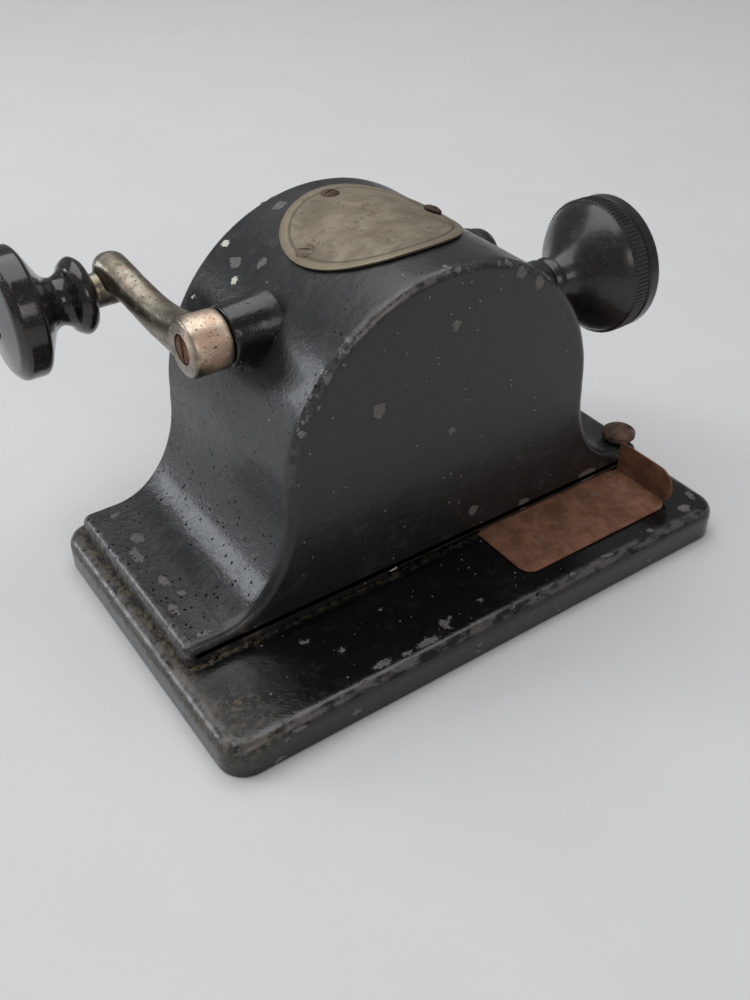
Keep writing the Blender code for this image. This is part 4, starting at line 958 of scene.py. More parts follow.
# ======================================================================== base plate
def base_plate():
    def ring(amount, z, wobble=0.0):
        """The outline drawn in by amount, its cast edge wandering inwards by wobble."""
        hl, hw = BASE_L / 2 - amount, BASE_W / 2 - amount
        outline = rounded_rect(-hl, hl, -hw, hw, max(1.0, 9.0 - amount), 12)
        pts = []
        for x, y in densify(outline, 4.0):
            dip = wobble * (0.5 + 0.5 * field.noise(Vector((x / 13.0, y / 13.0, 1.7))))
            r = math.hypot(x, y)
            pts.append((x - x / r * dip, y - y / r * dip, z))
        return pts

    rings = [ring(3.0, 0.0), ring(1.4, 0.0), ring(0.8, 0.0), ring(0.24, 0.24, 0.1),
             ring(0.0, 0.8, 0.15), ring(0.0, 4.6, 0.15)]
    edge = 4.2
    for k in range(9):
        a = math.radians(90 * k / 8)
        rings.append(ring(edge * (1 - math.cos(a)), BASE_H - edge + edge * math.sin(a), 0.16))
    rings += [ring(edge + 0.8, BASE_H), ring(edge + 3.0, BASE_H)]
    counterbore = capped([(-3, 5.2), (4.4, 5.2), (4.4, 2.4), (30, 2.4)])
    cuts = [along_z(counterbore, xy, 32) for xy in FROM_BELOW]
    cuts += [post(3.0, 30.0, 2.3, xy) for xy in HOLD_DOWN]
    piece("base_plate", carve(loft(rings), cuts=cuts), "base", BASE_ENAMEL)


base_plate()


# =========================================================================== housing
def housing_outline():
    """Outline in the xz plane, (x, z, normal x, normal z), normals into the iron."""
    def foot_corner(side, start):
        pts = []
        for k in range(7):
            a = math.radians(start - 90 * k / 6)
            c, s = math.cos(a), math.sin(a)
            pts.append((side * (FOOT_HALF_L - FOOT_ROUND) + FOOT_ROUND * c,
                        FOOT_TOP_Z - FOOT_ROUND + FOOT_ROUND * s, -c, -s))
        return pts

    rise = FLARE_TOP_Z - FOOT_TOP_Z
    reach = ARCH_R + FLARE_DRAFT + FLARE_A
    flare = []
    for k in range(22):
        a = math.radians(90 - 90 * k / 21)
        n = Vector((math.cos(a) / FLARE_A, math.sin(a) / rise)).normalized()
        flare.append((reach - FLARE_A * math.cos(a), FLARE_TOP_Z - rise * math.sin(a), n.x, n.y))
    pts = [(-FOOT_HALF_L, FLOOR_Z, 1.0, 0.0), (-FOOT_HALF_L, 14.6, 1.0, 0.0)]
    pts += foot_corner(-1, 180)
    pts += [(ARCH_X - w, z, nx, -nz) for w, z, nx, nz in flare]
    steps = 112
    for k in range(steps + 1):
        a = math.radians(180 - 180 * k / steps)
        c, s = math.cos(a), math.sin(a)
        pts.append((ARCH_X + ARCH_R * c, ARCH_Z + ARCH_R * s, -c, -s))
    pts += [(ARCH_X + w, z, -nx, -nz) for w, z, nx, nz in reversed(flare)]
    pts += foot_corner(1, 90)
    return pts + [(FOOT_HALF_L, 14.6, -1.0, 0.0), (FOOT_HALF_L, FLOOR_Z, -1.0, 0.0)]


def arch_point(s, y, lift):
    """Point above the arch's skin, s mm along the arc from its crown."""
    a = s / ARCH_R
    return Vector((ARCH_X + (ARCH_R + lift) * math.sin(a), y,
                   ARCH_Z + (ARCH_R + lift) * math.cos(a)))


def arch_normal(s):
    a = s / ARCH_R
    return Vector((math.sin(a), 0, math.cos(a)))


def wave(x, y, z, size, amount, seed=0.0):
    """A smooth unevenness of the casting, in mm."""
    return field.noise(Vector((x / size + seed, y / size, z / size))) * amount


def housing_shell():
    """The outside of the casting, back to front, with rounded rims."""
    outline = housing_outline()

    def ring(amount, y, rough=1.0):
        out = []
        for i, (x, z, nx, nz) in enumerate(outline):
            inner = 0.0 if i in (0, len(outline) - 1) else 1.0
            dip = rough * inner * (0.10 + wave(x, y, z, 14.0, 0.12) + wave(x, y, z, 4.0, 0.05, 3.0))
            bearing = math.degrees(math.atan2(z - ARCH_Z, x - ARCH_X))
            if z > 60 and y - BACK_Y < 4.0:
                # flaked iron along the rim: a little lower where the enamel has gone
                strong = 1.0 if 122 < bearing < 158 or 44 < bearing < 98 else 0.35
                flake = field.noise(Vector((x / 3.1, y / 3.1, z / 3.1)))
                dip += rough * strong * max(0.0, flake) * 0.38
            total = amount + max(0.0, dip)
            out.append((x + nx * total, y, z + nz * total))
        return out

    rings = [ring(5.0, BACK_Y, 0.0), ring(3.6, BACK_Y, 0.6)]
    for k in range(8):
        a = math.radians(90 * k / 7)
        rings.append(ring(3.0 * (1 - math.sin(a)), BACK_Y + 3.0 * (1 - math.cos(a))))
    y = BACK_Y + 4.4
    while y < FRONT_Y - 2.6:
        rings.append(ring(0.0, y))
        y += 2.6
    for k in range(5):
        a = math.radians(90 * k / 4)
        rings.append(ring(1.5 * (1 - math.cos(a)), FRONT_Y - 1.5 * (1 - math.sin(a)), 1.0 - k / 4))
    rings.append(ring(2.4, FRONT_Y, 0.0))
    return loft(rings)


def housing_hollow():
    """The space inside the housing, less the bosses that stand into it."""
    inner = ARCH_R - 5.0
    line = [(ARCH_X - inner, 2.0), *arc(ARCH_X, ARCH_Z, inner, 180, 0, 96), (ARCH_X + inner, 2.0)]
    # (y, outward growth of the opening)
    stations = ((BACK_Y + 4.45, -1.4), (BACK_Y + 4.9, -0.5), (BACK_Y + 6.0, 0.0),
                (FRONT_Y - 0.9, 0.0), (FRONT_Y - 0.35, 0.2), (FRONT_Y, 0.7), (62.0, 7.0))
    rings = []
    for y, growth in stations:
        scale = 1 + growth / inner
        rings.append([(ARCH_X + (x - ARCH_X) * scale, y,
                       ARCH_Z + (z - ARCH_Z) * scale if z > ARCH_Z else z) for x, z in line])
    return carve_shape(loft(rings), [
        rod(-60, -30.0, 8.0, CRANK), rod(-60, -24.0, 5.4, IDLER), rod(-60, -38.0, 7.6, SPINDLE),
        rod(-60, -36.5, 6.6, FEED), rod(-60, -47.0, 7.6, GUIDE), rod(38.5, 70, 8.4, SPINDLE),
        rod(38.5, 70, 8.4, FEED), rod(50.0, 70, 7.6, GUIDE),
        block(-20, 2, 44.0, 70.0, 101.5, 125.0)])


def housing():
    crank_boss = along_x(solid(
        [(-54.6, 8.9), (-54.0, 9.5), (-52.2, 9.6), (-49.6, 9.7), (-46.6, 9.9), (-43.4, 10.3),
         (-40.2, 10.8), (-38, 11.0)], 0.8), CRANK, 96)
    feed_boss = along_x(solid([(46, 8.4), (56.8, 8.4), (57.7, 7.8)], 0.5), FEED, 72)
    spindle_boss = along_x(solid([(44, 9.6), (57.6, 9.6), (58.4, 8.9)], 0.5), SPINDLE, 72)
    cuts = [
        housing_hollow(),
        rod(-60, -22, 6.8, CRANK), rod(-45.8, -20, 3.3, IDLER), rod(-46.0, -34, 6.3, SPINDLE),
        along_x(capped([(34, 6.8), (58.4, 6.8), (58.4, 9.4), (75, 9.4)]), SPINDLE),
        rod(-43.3, -32, 4.8, FEED),
        along_x(capped([(34, 6.0), (57.7, 6.0), (57.7, 9.0), (75, 9.0)]), FEED),
        rod(-55.2, -44, 4.3, GUIDE), rod(46, 90, 4.3, GUIDE),
        # low slot through the back wall for the chip tray
        block(-21.5, 120, -40, BACK_Y + 4.75, 2.0, FLOOR_Z + 1.4),
    ]
    cuts += [bar(46.0, 70.0, 1.8, (TRACER_X, z)) for z in BRACKET_SCREWS_Z]
    cuts += [post(2.0, 40.0, 2.4, xy) for xy in HOLD_DOWN]
    cuts += [post(2.0, 18.0, 2.3, xy) for xy in FROM_BELOW]
    cuts += [turned(capped([(-9, 1.4), (6, 1.4)]), arch_point(s, y, 0), arch_normal(s), 24)
             for s, y in PLATE_SCREWS]
    mesh = carve(housing_shell(), unions=[crank_boss, feed_boss, spindle_boss], cuts=cuts)
    # a face left at x = -38 still closes the spindle bore: open it
    shell = bmesh.new()
    shell.from_mesh(mesh)
    closing = []
    for face in shell.faces:
        x, y, z = face.calc_center_median() / MM
        if abs(x + 38.0) < 0.02 and math.hypot(y - SPINDLE[0], z - SPINDLE[1]) < 6.25:
            closing.append(face)
    bmesh.ops.delete(shell, geom=closing, context="FACES")
    bmesh.ops.remove_doubles(shell, verts=shell.verts, dist=0.004 * MM)
    shell.to_mesh(mesh)
    shell.free()
    piece("housing", mesh, "base", HOUSING_ENAMEL, sharp=36)


housing()


# ====================================================================== name plate
def name_plate():
    steps = 160

    def lift_at(fraction, angle):
        """Face height: raised rim, groove inside it, dished at the screws, buckled."""
        s, y = PLATE_A * fraction * math.cos(angle), PLATE_B * fraction * math.sin(angle)
        top = PLATE_T
        if fraction > 0.905:
            rim = min(1.0, (fraction - 0.905) / 0.02)
            top += 0.17 * rim * min(1.0, (1.0 - fraction) / 0.03 + 0.35)
        elif fraction > 0.865:
            top -= 0.10 * math.sin(math.pi * (fraction - 0.865) / 0.04)
        for screw_s, screw_y in PLATE_SCREWS:
            d = math.hypot(s + PLATE_S - screw_s, y + PLATE_Y - screw_y)
            top -= 0.34 * math.exp(-(d / 3.1) ** 2)
        top += (0.10 * field.noise(Vector((s / 9.0, y / 9.0, 4.0)))
                + 0.03 * field.noise(Vector((s / 3.0, y / 3.0, 9.0))))
        if abs(s) < 17:
            # a straight crease across the middle
            crease = abs(s * 0.86 + y * 0.5 - 5.0)
            top -= 0.10 * math.exp(-(crease / 0.8) ** 2)
        return GAP + max(0.28, top)

    def row(fraction, lift=None):
        pts = []
        for k in range(steps if fraction else 1):
            a = 2 * math.pi * k / steps
            pts.append(arch_point(PLATE_S + PLATE_A * fraction * math.cos(a),
                                  PLATE_Y + PLATE_B * fraction * math.sin(a),
                                  lift_at(fraction, a) if lift is None else lift))
        return pts

    # fractions of the plate's radius: the underside outwards, then the face inwards
    under = [0.0, 0.2, 0.4, 0.6, 0.8, 0.93, 0.995]
    over = [1.0, 0.995, 0.985, 0.972, 0.958, 0.944, 0.930, 0.918, 0.905, 0.895, 0.885, 0.875,
            0.865, *(0.85 - 0.034 * k for k in range(25)), 0.0]
    rows = [row(fraction, GAP) for fraction in under] + [row(1.0, GAP + 0.15)]
    rows += [row(fraction) for fraction in over]
    cuts = [turned(capped([(-4, 1.6), (6, 1.6)]), arch_point(s, y, 0), arch_normal(s), 32)
            for s, y in PLATE_SCREWS]
    piece("nameplate", carve(skin(rows), cuts=cuts), "base", BRASS, sharp=50, weighted=False)


def name_plate_screws():
    # (label, slot angle, seat height, head height, look)
    heads = (("left", 0.5, 0.70, 1.0, PLATE_SCREW), ("top", 1.9, 0.70, 1.0, SCREW_RUST),
             ("right", 2.7, 1.25, 1.5, SCREW_RUST))
    for (label, angle, seat, rise, look), (s, y) in zip(heads, PLATE_SCREWS):
        at, up = arch_point(s, y, 0), arch_normal(s)
        profile = soften([
            (-6.0, 0), (-6.0, 1.1), (seat, 1.1), (seat, 3.1), (seat + 0.3 * rise, 3.1),
            (seat + 0.67 * rise, 2.4), (seat + 0.9 * rise, 1.4), (seat + rise, 0)], 0.3, 4)
        slot = slab(at, up, angle, 4.0, 0.33, seat + 0.52 * rise, seat + 3.0)
        mesh = carve(turned(profile, at, up, 48), cuts=[slot])
        piece("nameplate_screw_" + label, mesh, "base", look)


name_plate()
name_plate_screws()


# ============================================ fasteners, bushings and shafts in the base
def frame_screws():
    # profiles of (z, radius)
    hold_down = solid([(3.4, 2.0), (21.3, 2.0), (21.3, 5.6), (21.9, 6.2), (23.6, 6.2),
                       (24.25, 5.4), (24.5, 4.6)], 0.35, 4)
    for label, xy in zip(("near", "far"), HOLD_DOWN):
        piece("holddown_screw_" + label, along_z(hold_down, xy, 64), "base", SCREW_RUST)
    from_below = solid([(0.6, 4.8), (3.9, 4.8), (3.9, 2.0), (17.4, 2.0)])
    for label, xy in zip(("near", "far"), FROM_BELOW):
        slot = slab((*xy, 0), (0, 0, 1), 0.8, 7, 0.6, -2, 2.0)
        mesh = carve(along_z(from_below, xy, 48), cuts=[slot])
        piece("frame_screw_" + label, mesh, "base", STEEL)


frame_screws()

# (name, x from, x to, bore radius, outer radius, axis)
for name, x0, x1, bore, outer, yz in (
        ("crank_bushing", -54.5, -30.0, 4.3, 6.5, CRANK),
        ("spindle_bushing_left", -45.6, -37.7, 2.8, 6.0, SPINDLE),
        ("spindle_bushing_right", 38.3, 57.0, 4.3, 6.5, SPINDLE),
        ("feed_bushing_right", 38.3, 57.6, 3.8, 5.7, FEED),
        ("feed_bushing_left", -43.0, -36.2, 2.9, 4.5, FEED)):
    tube = soften([(x0, bore), (x0, outer), (x1, outer), (x1, bore)], 0.35)
    piece(name, along_x(tube, yz, 72), "base", BRONZE)

dome = [(61.0 + 6.2 * math.sin(math.radians(a)), 8.6 * math.cos(math.radians(a)))
        for a in (8, 17, 26, 36, 46, 57, 68, 79)]
piece("spindle_cap", along_x(soften(
    [(58.75, 0), (58.75, 8.8), (60.6, 8.8), (61.0, 8.6), *dome, (67.2, 0)]), SPINDLE, 80),
    "base", CAP_ENAMEL)
piece("idler_stud", along_x(solid(
    [(-45.3, 3.0), (-23.7, 3.0), (-23.7, 4.6), (-21.2, 4.6), (-21.2, 2.3), (-8.2, 2.3),
     (-8.2, 4.2), (-6.8, 4.2)]), IDLER), "base", STEEL)
piece("guide_rod", along_x(solid([(-54.8, 4.0), (60.6, 4.0)], 0.6), GUIDE), "base", STEEL)

# =========================================================================== gears
MODULE, BACKLASH, PRESSURE = 0.8, 0.16, math.radians(20)
ADDENDUM, DEDENDUM, TIP_BEVEL = 0.78 * MODULE, 1.05 * MODULE, 0.35


def gear_outline(teeth, phase, middle, tip_trim):
    """Spur gear outline in (y, z) with involute flanks."""
    pitch_r = MODULE * teeth / 2
    base_r = pitch_r * math.cos(PRESSURE)
    tip_r, root_r = pitch_r + ADDENDUM - tip_trim, pitch_r - DEDENDUM
    involute = math.tan(PRESSURE) - PRESSURE

    def half_angle(r):
        a = math.acos(min(1.0, base_r / r))
        return math.pi / (2 * teeth) - BACKLASH / (2 * pitch_r) + involute - (math.tan(a) - a)

    radii = [base_r + (tip_r - base_r) * k / 5 for k in range(6)]
    flank = [(root_r, half_angle(base_r) * 1.02)] + [(r, half_angle(r)) for r in radii]
    pts = []
    for t in range(teeth):
        mid = phase + 2 * math.pi * t / teeth
        for side, order in ((-1, flank), (1, flank[::-1])):
            for r, half in order:
                a = mid + side * half
                pts.append((middle[0] + r * math.cos(a), middle[1] + r * math.sin(a)))
    return pts


def gear(name, body, teeth, phase, middle, x0, x1, bore, look, web=False):
    rings = []
    for x, trim in ((x0, TIP_BEVEL), (x0 + TIP_BEVEL, 0.0), (x1 - TIP_BEVEL, 0.0), (x1, TIP_BEVEL)):
        rings.append([(x, y, z) for y, z in gear_outline(teeth, phase, middle, trim)])
    cuts = [rod(x0 - 2, x1 + 2, bore, middle)]
    if web:
        rim, hub = MODULE * teeth / 2 - 2.4, bore + 2.3
        for a, b in ((x0 - 1.0, x0 + 1.0), (x1 - 1.0, x1 + 1.0)):
            cuts.append(along_x([(a, hub), (a, rim), (b, rim), (b, hub)], middle, 72))
    piece(name, carve(loft(rings), cuts=cuts), body, look, sharp=28, weighted=False)


def bearing_to(a, b):
    return math.atan2(b[1] - a[1], b[0] - a[0])


to_idler, to_spindle = bearing_to(CRANK, IDLER), bearing_to(IDLER, SPINDLE)
half_tooth = math.pi / 12    # of a 12-tooth pinion
gear("crank_gear", "crank", 24, to_idler, CRANK, -20.5, -15.5, 4.3, STEEL, web=True)
gear("idler_pinion", "idler", 12, to_idler + math.pi + half_tooth, IDLER, -20.5, -13.8, 2.6, STEEL)
gear("idler_gear", "idler", 32, to_spindle, IDLER, -13.5, -8.5, 2.6, BRONZE, web=True)
gear("spindle_pinion", "spindle", 12, to_spindle + math.pi + half_tooth, SPINDLE, -13.5, -8.5,
     2.8, STEEL)

# =========================================================================== crank
piece("crank_shaft", along_x(solid(
    [(-58.2, 1.7), (-64.6, 1.7), (-64.6, 4.0), (-15.2, 4.0)], 0.4), CRANK), "crank", STEEL)

# stations of the bar: (fraction of the crank radius, x, lift in z, half width x, half height z)
ARM_PATH = (
    (0.00, -61.8, -0.5, 5.9, 8.6), (0.16, -61.9, -1.5, 5.8, 8.0), (0.32, -62.5, -1.7, 5.7, 6.6),
    (0.50, -63.6, -0.7, 5.5, 5.7), (0.70, -64.9, 1.9, 5.3, 5.3), (0.88, -65.8, 3.7, 5.5, 5.7),
    (1.02, -66.2, 4.3, 5.9, 5.8),
)


def arm_station(t):
    """Section of the bar, eased smoothly through the listed stations."""
    last = len(ARM_PATH) - 1
    i = next((i for i in range(last) if t <= ARM_PATH[i + 1][0]), last - 1)
    a, b = ARM_PATH[i], ARM_PATH[i + 1]
    before, after = ARM_PATH[max(0, i - 1)], ARM_PATH[min(last, i + 2)]
    f = min(1.0, (t - a[0]) / (b[0] - a[0]))
    out = []
    for j in range(1, 5):
        slope_a = (b[j] - before[j]) / (b[0] - before[0]) * (b[0] - a[0])
        slope_b = (after[j] - a[j]) / (after[0] - a[0]) * (b[0] - a[0])
        out.append((2 * f ** 3 - 3 * f ** 2 + 1) * a[j] + (f ** 3 - 2 * f ** 2 + f) * slope_a
                   + (3 * f ** 2 - 2 * f ** 3) * b[j] + (f ** 3 - f ** 2) * slope_b)
    return out


def arm_bar(sides=48):
    """The bar from the hub outwards, closed by a rounded end."""
    last = ARM_PATH[-1][0]
    stations = [(0.02 + (last - 0.02) * k / 27, 1.0) for k in range(28)]
    stations += [(last + 6.4 / CRANK_RADIUS * math.sin(math.radians(a)), math.cos(math.radians(a)))
                 for a in (12, 25, 38, 50, 62, 74, 84)]
    rings = []
    for t, shrink in stations:
        x, lift, rx, rz = arm_station(min(t, last))
        y = CRANK[0] + CRANK_RADIUS * t
        ring = []
        for q in range(sides):
            a = 2 * math.pi * q / sides
            c, s = math.cos(a), math.sin(a)
            ring.append((x + rx * shrink * math.copysign(abs(c) ** 0.9, c), y,
                         CRANK[1] + lift + rz * shrink * math.copysign(abs(s) ** 0.9, s)))
        rings.append(ring)
    return loft(rings)


def crank_arm():
    hub = along_x(solid(
        [(HUB_FRONT_X, 8.4), (HUB_FRONT_X + 0.9, 9.3), (HUB_BACK_X - 0.6, 9.3),
         (HUB_BACK_X, 8.7)], 0.5), CRANK, 96)
    end = along_x(solid(
        [(ARM_END_X - 6.2, 5.0), (ARM_END_X - 5.6, 5.6), (ARM_END_X + 4.6, 5.6),
         (ARM_END_X + 6.0, 4.4)], 0.6), HANDLE)
    cuts = [
        along_x(solid([(HUB_FRONT_X - 3, 4.8), (HUB_FRONT_X + 1.3, 4.8), (HUB_FRONT_X + 1.3, 1.8),
                       (-64.9, 1.8), (-64.9, 4.3), (-50, 4.3)], 0.15), CRANK),
        rod(ARM_END_X - 12, ARM_END_X + 4.4, 3.3, HANDLE),
        # a short fine nick in the hub's face
        slab((HUB_FRONT_X, CRANK[0] + 6.7, CRANK[1] + 3.4), (1, 0, 0), 0.10, 2.4, 0.13, -1.0, 0.35),
    ]
    mesh = carve(hub, unions=[arm_bar(), end], cuts=cuts, voxel=0.38, smooth=5)
    piece("crank_arm", mesh, "crank", ARM_NICKEL, sharp=46, weighted=False)


crank_arm()
hub_screw = along_x(solid(
    [(HUB_FRONT_X + 0.1, 4.1), (HUB_FRONT_X + 0.4, 4.4), (HUB_FRONT_X + 1.0, 4.4),
     (HUB_FRONT_X + 1.0, 1.4), (-58.6, 1.4)], 0.15), CRANK)
piece("crank_hub_screw", carve(hub_screw, cuts=[
    slab((HUB_FRONT_X, *CRANK), (1, 0, 0), 1.45, 6.0, 0.55, -1.5, 0.72)]), "crank", HUB_SCREW)
piece("handle_pin", along_x(solid(
    [(ARM_END_X + 4.1, 3.0), (-103.2, 3.0), (-103.2, 5.6), (-104.8, 5.6), (-105.4, 4.4)], 0.4),
    HANDLE), "crank", STEEL)

# (x, radius) from the crank arm outwards, back along the bore
handle = [
    (-75.1, 3.3), (-75.1, 6.6), (-75.5, 7.6),
    *eased([(-75.6, 8.2), (-76.4, 11.0), (-79.0, 12.5), (-81.8, 11.0), (-83.4, 8.9),
            (-86.4, 7.8), (-89.6, 9.6), (-92.6, 14.8), (-95.0, 19.3)], 7),
    (-95.7, 20.3), (-96.6, 20.85), (-98.0, 20.9), (-102.2, 20.9), (-103.3, 20.4),
    (-104.6, 18.6), (-105.0, 17.6), (-106.3, 7.0), (-106.4, 6.3), (-106.0, 6.3),
    (-102.8, 6.3), (-102.8, 3.3)]
piece("crank_handle", along_x(soften(handle, 0.35), HANDLE, 128), "crank_handle",
      HANDLE_BLACK, sharp=40)

# ========================================================================= spindle
# the [:-1] drops the last point of the corner softened where the thread takes over
spindle = soften([(-45.3, 0), (-45.3, 2.5), (-7.9, 2.5), (-7.9, 4.0), (20.0, 4.0)])[:-1]
spindle += [(20.2, 4.0), *thread(20.3, 31.5, major=4.0, depth=0.35, lead=1.0, starts=1, per_pitch=6)]
spindle += [(31.6, 4.0), (36.8, 4.0), (36.8, 6.1), (37.0, 6.3), (37.8, 6.3), (38.0, 6.1),
            (38.0, 4.0), (56.5, 4.0), (56.8, 3.7), (56.8, 0)]
piece("cutter_spindle", along_x(spindle, SPINDLE, 48), "spindle", STEEL, sharp=40)


def cutter_wheel(teeth=60, radius=16.0):
    """Milling cutter for keys: fine saw teeth round a disc with a recess in each side."""
    rings = []
    for offset, trim in ((-1.5, 0.5), (-1.05, 0.0), (1.05, 0.0), (1.5, 0.5)):
        # (share of the tooth pitch, radius)
        tooth = ((0.0, radius - 1.15), (0.08, radius - trim), (0.24, radius - 0.10 - trim),
                 (0.62, radius - 0.85), (0.9, radius - 1.15))
        ring = []
        for k in range(teeth):
            for share, r in tooth:
                a = 2 * math.pi * (k + share) / teeth
                ring.append((CUTTER_X + offset, SPINDLE[0] + r * math.cos(a),
                             SPINDLE[1] + r * math.sin(a)))
        rings.append(ring)
    cuts = [rod(CUTTER_X - 4, CUTTER_X + 4, 4.3, SPINDLE, 64)]
    for a, b in ((CUTTER_X - 3.0, CUTTER_X - 1.1), (CUTTER_X + 1.1, CUTTER_X + 3.0)):
        cuts.append(along_x([(a, 8.2), (a, 12.6), (b, 12.6), (b, 8.2)], SPINDLE, 96))
    piece("cutter_wheel", carve(loft(rings), cuts=cuts), "spindle", TOOL_STEEL, sharp=24,
          weighted=False)


def cutter_nut(corner_r=7.2):
    """Hexagon nut with its corners turned off at both ends."""
    hexagon = []
    for side in range(6):
        start, end = (math.radians(30 + 60 * (side + k)) for k in (0, 1))
        for t in (0.0, 0.25, 0.5, 0.75):
            hexagon.append((corner_r * ((1 - t) * math.cos(start) + t * math.cos(end)),
                            corner_r * ((1 - t) * math.sin(start) + t * math.sin(end))))
    rings = []
    for offset, limit in ((8.3, 6.2), (7.8, 6.75), (7.3, 7.2), (3.9, 7.2), (3.5, 6.9)):
        ring = []
        for dy, dz in hexagon:
            k = min(1.0, limit / math.hypot(dy, dz))
            ring.append((CUTTER_X - offset, SPINDLE[0] + dy * k, SPINDLE[1] + dz * k))
        rings.append(ring)
    mesh = carve(loft(rings), cuts=[rod(CUTTER_X - 12, CUTTER_X, 4.3, SPINDLE)])
    piece("cutter_nut", mesh, "spindle", STEEL, sharp=24)


cutter_wheel()
piece("cutter_washer", along_x(soften(
    [(CUTTER_X - 3.2, 4.3), (CUTTER_X - 3.2, 7.2), (CUTTER_X - 1.8, 7.2), (CUTTER_X - 1.8, 4.3)],
    0.25), SPINDLE), "spindle", STEEL)
cutter_nut()

# ============================================================================ feed
feed = soften([(-42.8, 0), (-42.8, 2.6), (-35.6, 2.6), (-35.6, 3.5), (-34.0, 3.5)])[:-1]
feed += [(-34.0, 3.5), *thread(-33.9, 33.6, major=3.5, depth=0.62, lead=4.0, starts=2, per_pitch=8)]
feed += [(33.7, 3.5), (36.2, 3.5), (36.2, 5.2), (36.4, 5.4), (37.8, 5.4), (38.0, 5.2), (38.0, 3.5),
         (84.2, 3.5), (84.4, 3.3), (84.4, 1.7), (74.0, 1.7), (74.0, 0)]
piece("feed_screw", along_x(feed, FEED, 48), "feed", STEEL, sharp=42, weighted=False)

KNOB_RIDGES = 104
knurl = ridged(23.4, depth=0.42, ridges=KNOB_RIDGES, power=0.7)
knob = [
    (58.1, 3.8), (58.1, 7.6), (58.5, 8.0), (61.0, 8.3), (61.35, 8.0), (61.7, 7.2),
    *eased([(62.2, 7.05), (63.4, 7.25), (66.4, 9.0), (69.2, 11.9), (71.8, 15.2), (74.4, 18.3),
            (77.0, 20.9), (79.2, 22.4)], 5),
    (79.45, 22.7), (79.7, knurl), (81.2, knurl), (82.8, knurl), (84.5, knurl), (84.75, 22.75),
    (84.95, 22.55), (85.35, 22.55), (85.6, 22.9), (85.8, 23.25), (88.7, 23.3), (89.3, 23.15),
    (89.9, 22.7), (90.3, 22.0), (90.9, 12.0), (91.2, 6.0), (91.1, 5.3), (90.8, 5.0), (87.0, 5.0),
    (87.0, 2.0), (85.0, 2.0), (85.0, 3.8)]
piece("feed_knob", along_x(knob, FEED, KNOB_RIDGES * 6), "feed", KNOB_BLACK, sharp=44,
      weighted=False)
knob_screw = along_x(solid([(74.4, 1.4), (87.3, 1.4), (87.3, 4.0), (89.0, 4.0), (89.8, 3.1)]), FEED)
piece("feed_knob_screw", carve(knob_screw, cuts=[
    slab((89.8, *FEED), (1, 0, 0), 0.6, 6.0, 0.5, -0.9, 2.0)]), "feed", STEEL)


# ======================================================================== carriage
def carriage():
    y, z = FEED
    line = arc(y, z, 9.4, -35, 215, 36)
    line += [(y - 6.8, 76.0), (y - 6.8, 60.0), (y - 9.2, 54.0), (y - 9.2, 30.0), (y - 7.2, 26.0),
             (38.0, 26.0), (40.0, 27.0), (40.0, 29.2), (38.6, 30.0), (y + 11.0, 30.0),
             (y + 9.2, 33.0), (y + 9.2, 54.0), (y + 6.8, 60.0), (y + 6.8, 76.0)]
    guide_boss = rod(CARRIAGE_X - 10, CARRIAGE_X + 10, 8.4, (y, GUIDE[1]), 72)
    bores = [rod(CARRIAGE_X - 20, CARRIAGE_X + 20, radius, yz, 64)
             for radius, yz in ((6.5, FEED), (4.3, GUIDE))]
    mesh = carve(prism(line, "x", CARRIAGE_X - 6, CARRIAGE_X + 6), unions=[guide_boss],
                 cuts=bores, voxel=0.5, smooth=6)
    piece("carriage", mesh, "carriage", CAST_ENAMEL, sharp=50, weighted=False)


carriage()
piece("feed_nut", along_x(soften(
    [(CARRIAGE_X - 7.0, 3.8), (CARRIAGE_X - 7.0, 6.2), (CARRIAGE_X + 6.3, 6.2),
     (CARRIAGE_X + 6.3, 8.6), (CARRIAGE_X + 8.0, 8.6), (CARRIAGE_X + 8.0, 3.8)]), FEED, 72),
    "carriage", BRONZE)

spring = piece("lift_spring", coil((CARRIAGE_X, 31.0), 30.3, 41.7, radius=5.0, wire=0.55, turns=4.5),
               "carriage", SPRING_STEEL, sharp=60, weighted=False)
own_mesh(spring)


# =========================================================================== vises
def vise_table():
    y, z = GUIDE
    plate = rounded_rect(CARRIAGE_X - 29.5, CARRIAGE_X + 29.5, 20.0, 58.0, 4.0, 10)
    lug = arc(y, z, 8.2, 35, 325, 40)
    lug += [(y + 12, 43.2), (24.0, 43.2), (24.0, 47.0), (y + 12, 50.5)]
    shapes = [prism(lug, "x", CARRIAGE_X - 20, CARRIAGE_X - 10.4),
              prism(lug, "x", CARRIAGE_X + 10.4, CARRIAGE_X + 20)]
    for x in (TRACER_X, CUTTER_X):
        left, right = x - VISE_HALF_W, x + VISE_HALF_W
        fixed_jaw = [(left, 46.0), (left, JAW_TOP_Z - 1), (left + 1, JAW_TOP_Z),
                     (right - 1, JAW_TOP_Z), (right, JAW_TOP_Z - 1), (right, 46.0)]
        screw_wall = [(x - 7, 46.0), *arc(x, CLAMP_Z, 7.2, 190, -10, 32), (x + 7, 46.0)]
        shapes += [prism(fixed_jaw, "y", 26.0, 34.4), prism(screw_wall, "y", 52.7, 57.6)]
    cuts = [rod(CARRIAGE_X - 32, CARRIAGE_X + 32, 4.3, GUIDE, 64)]
    cuts += [bar(50.0, 62.0, 2.8, (x, CLAMP_Z), 48) for x in (TRACER_X, CUTTER_X)]
    mesh = carve(prism(plate, "z", 42.0, 48.0), unions=shapes, cuts=cuts, voxel=0.45, smooth=5)
    piece("vise_table", mesh, "vise_table", CAST_ENAMEL, sharp=50, weighted=False)


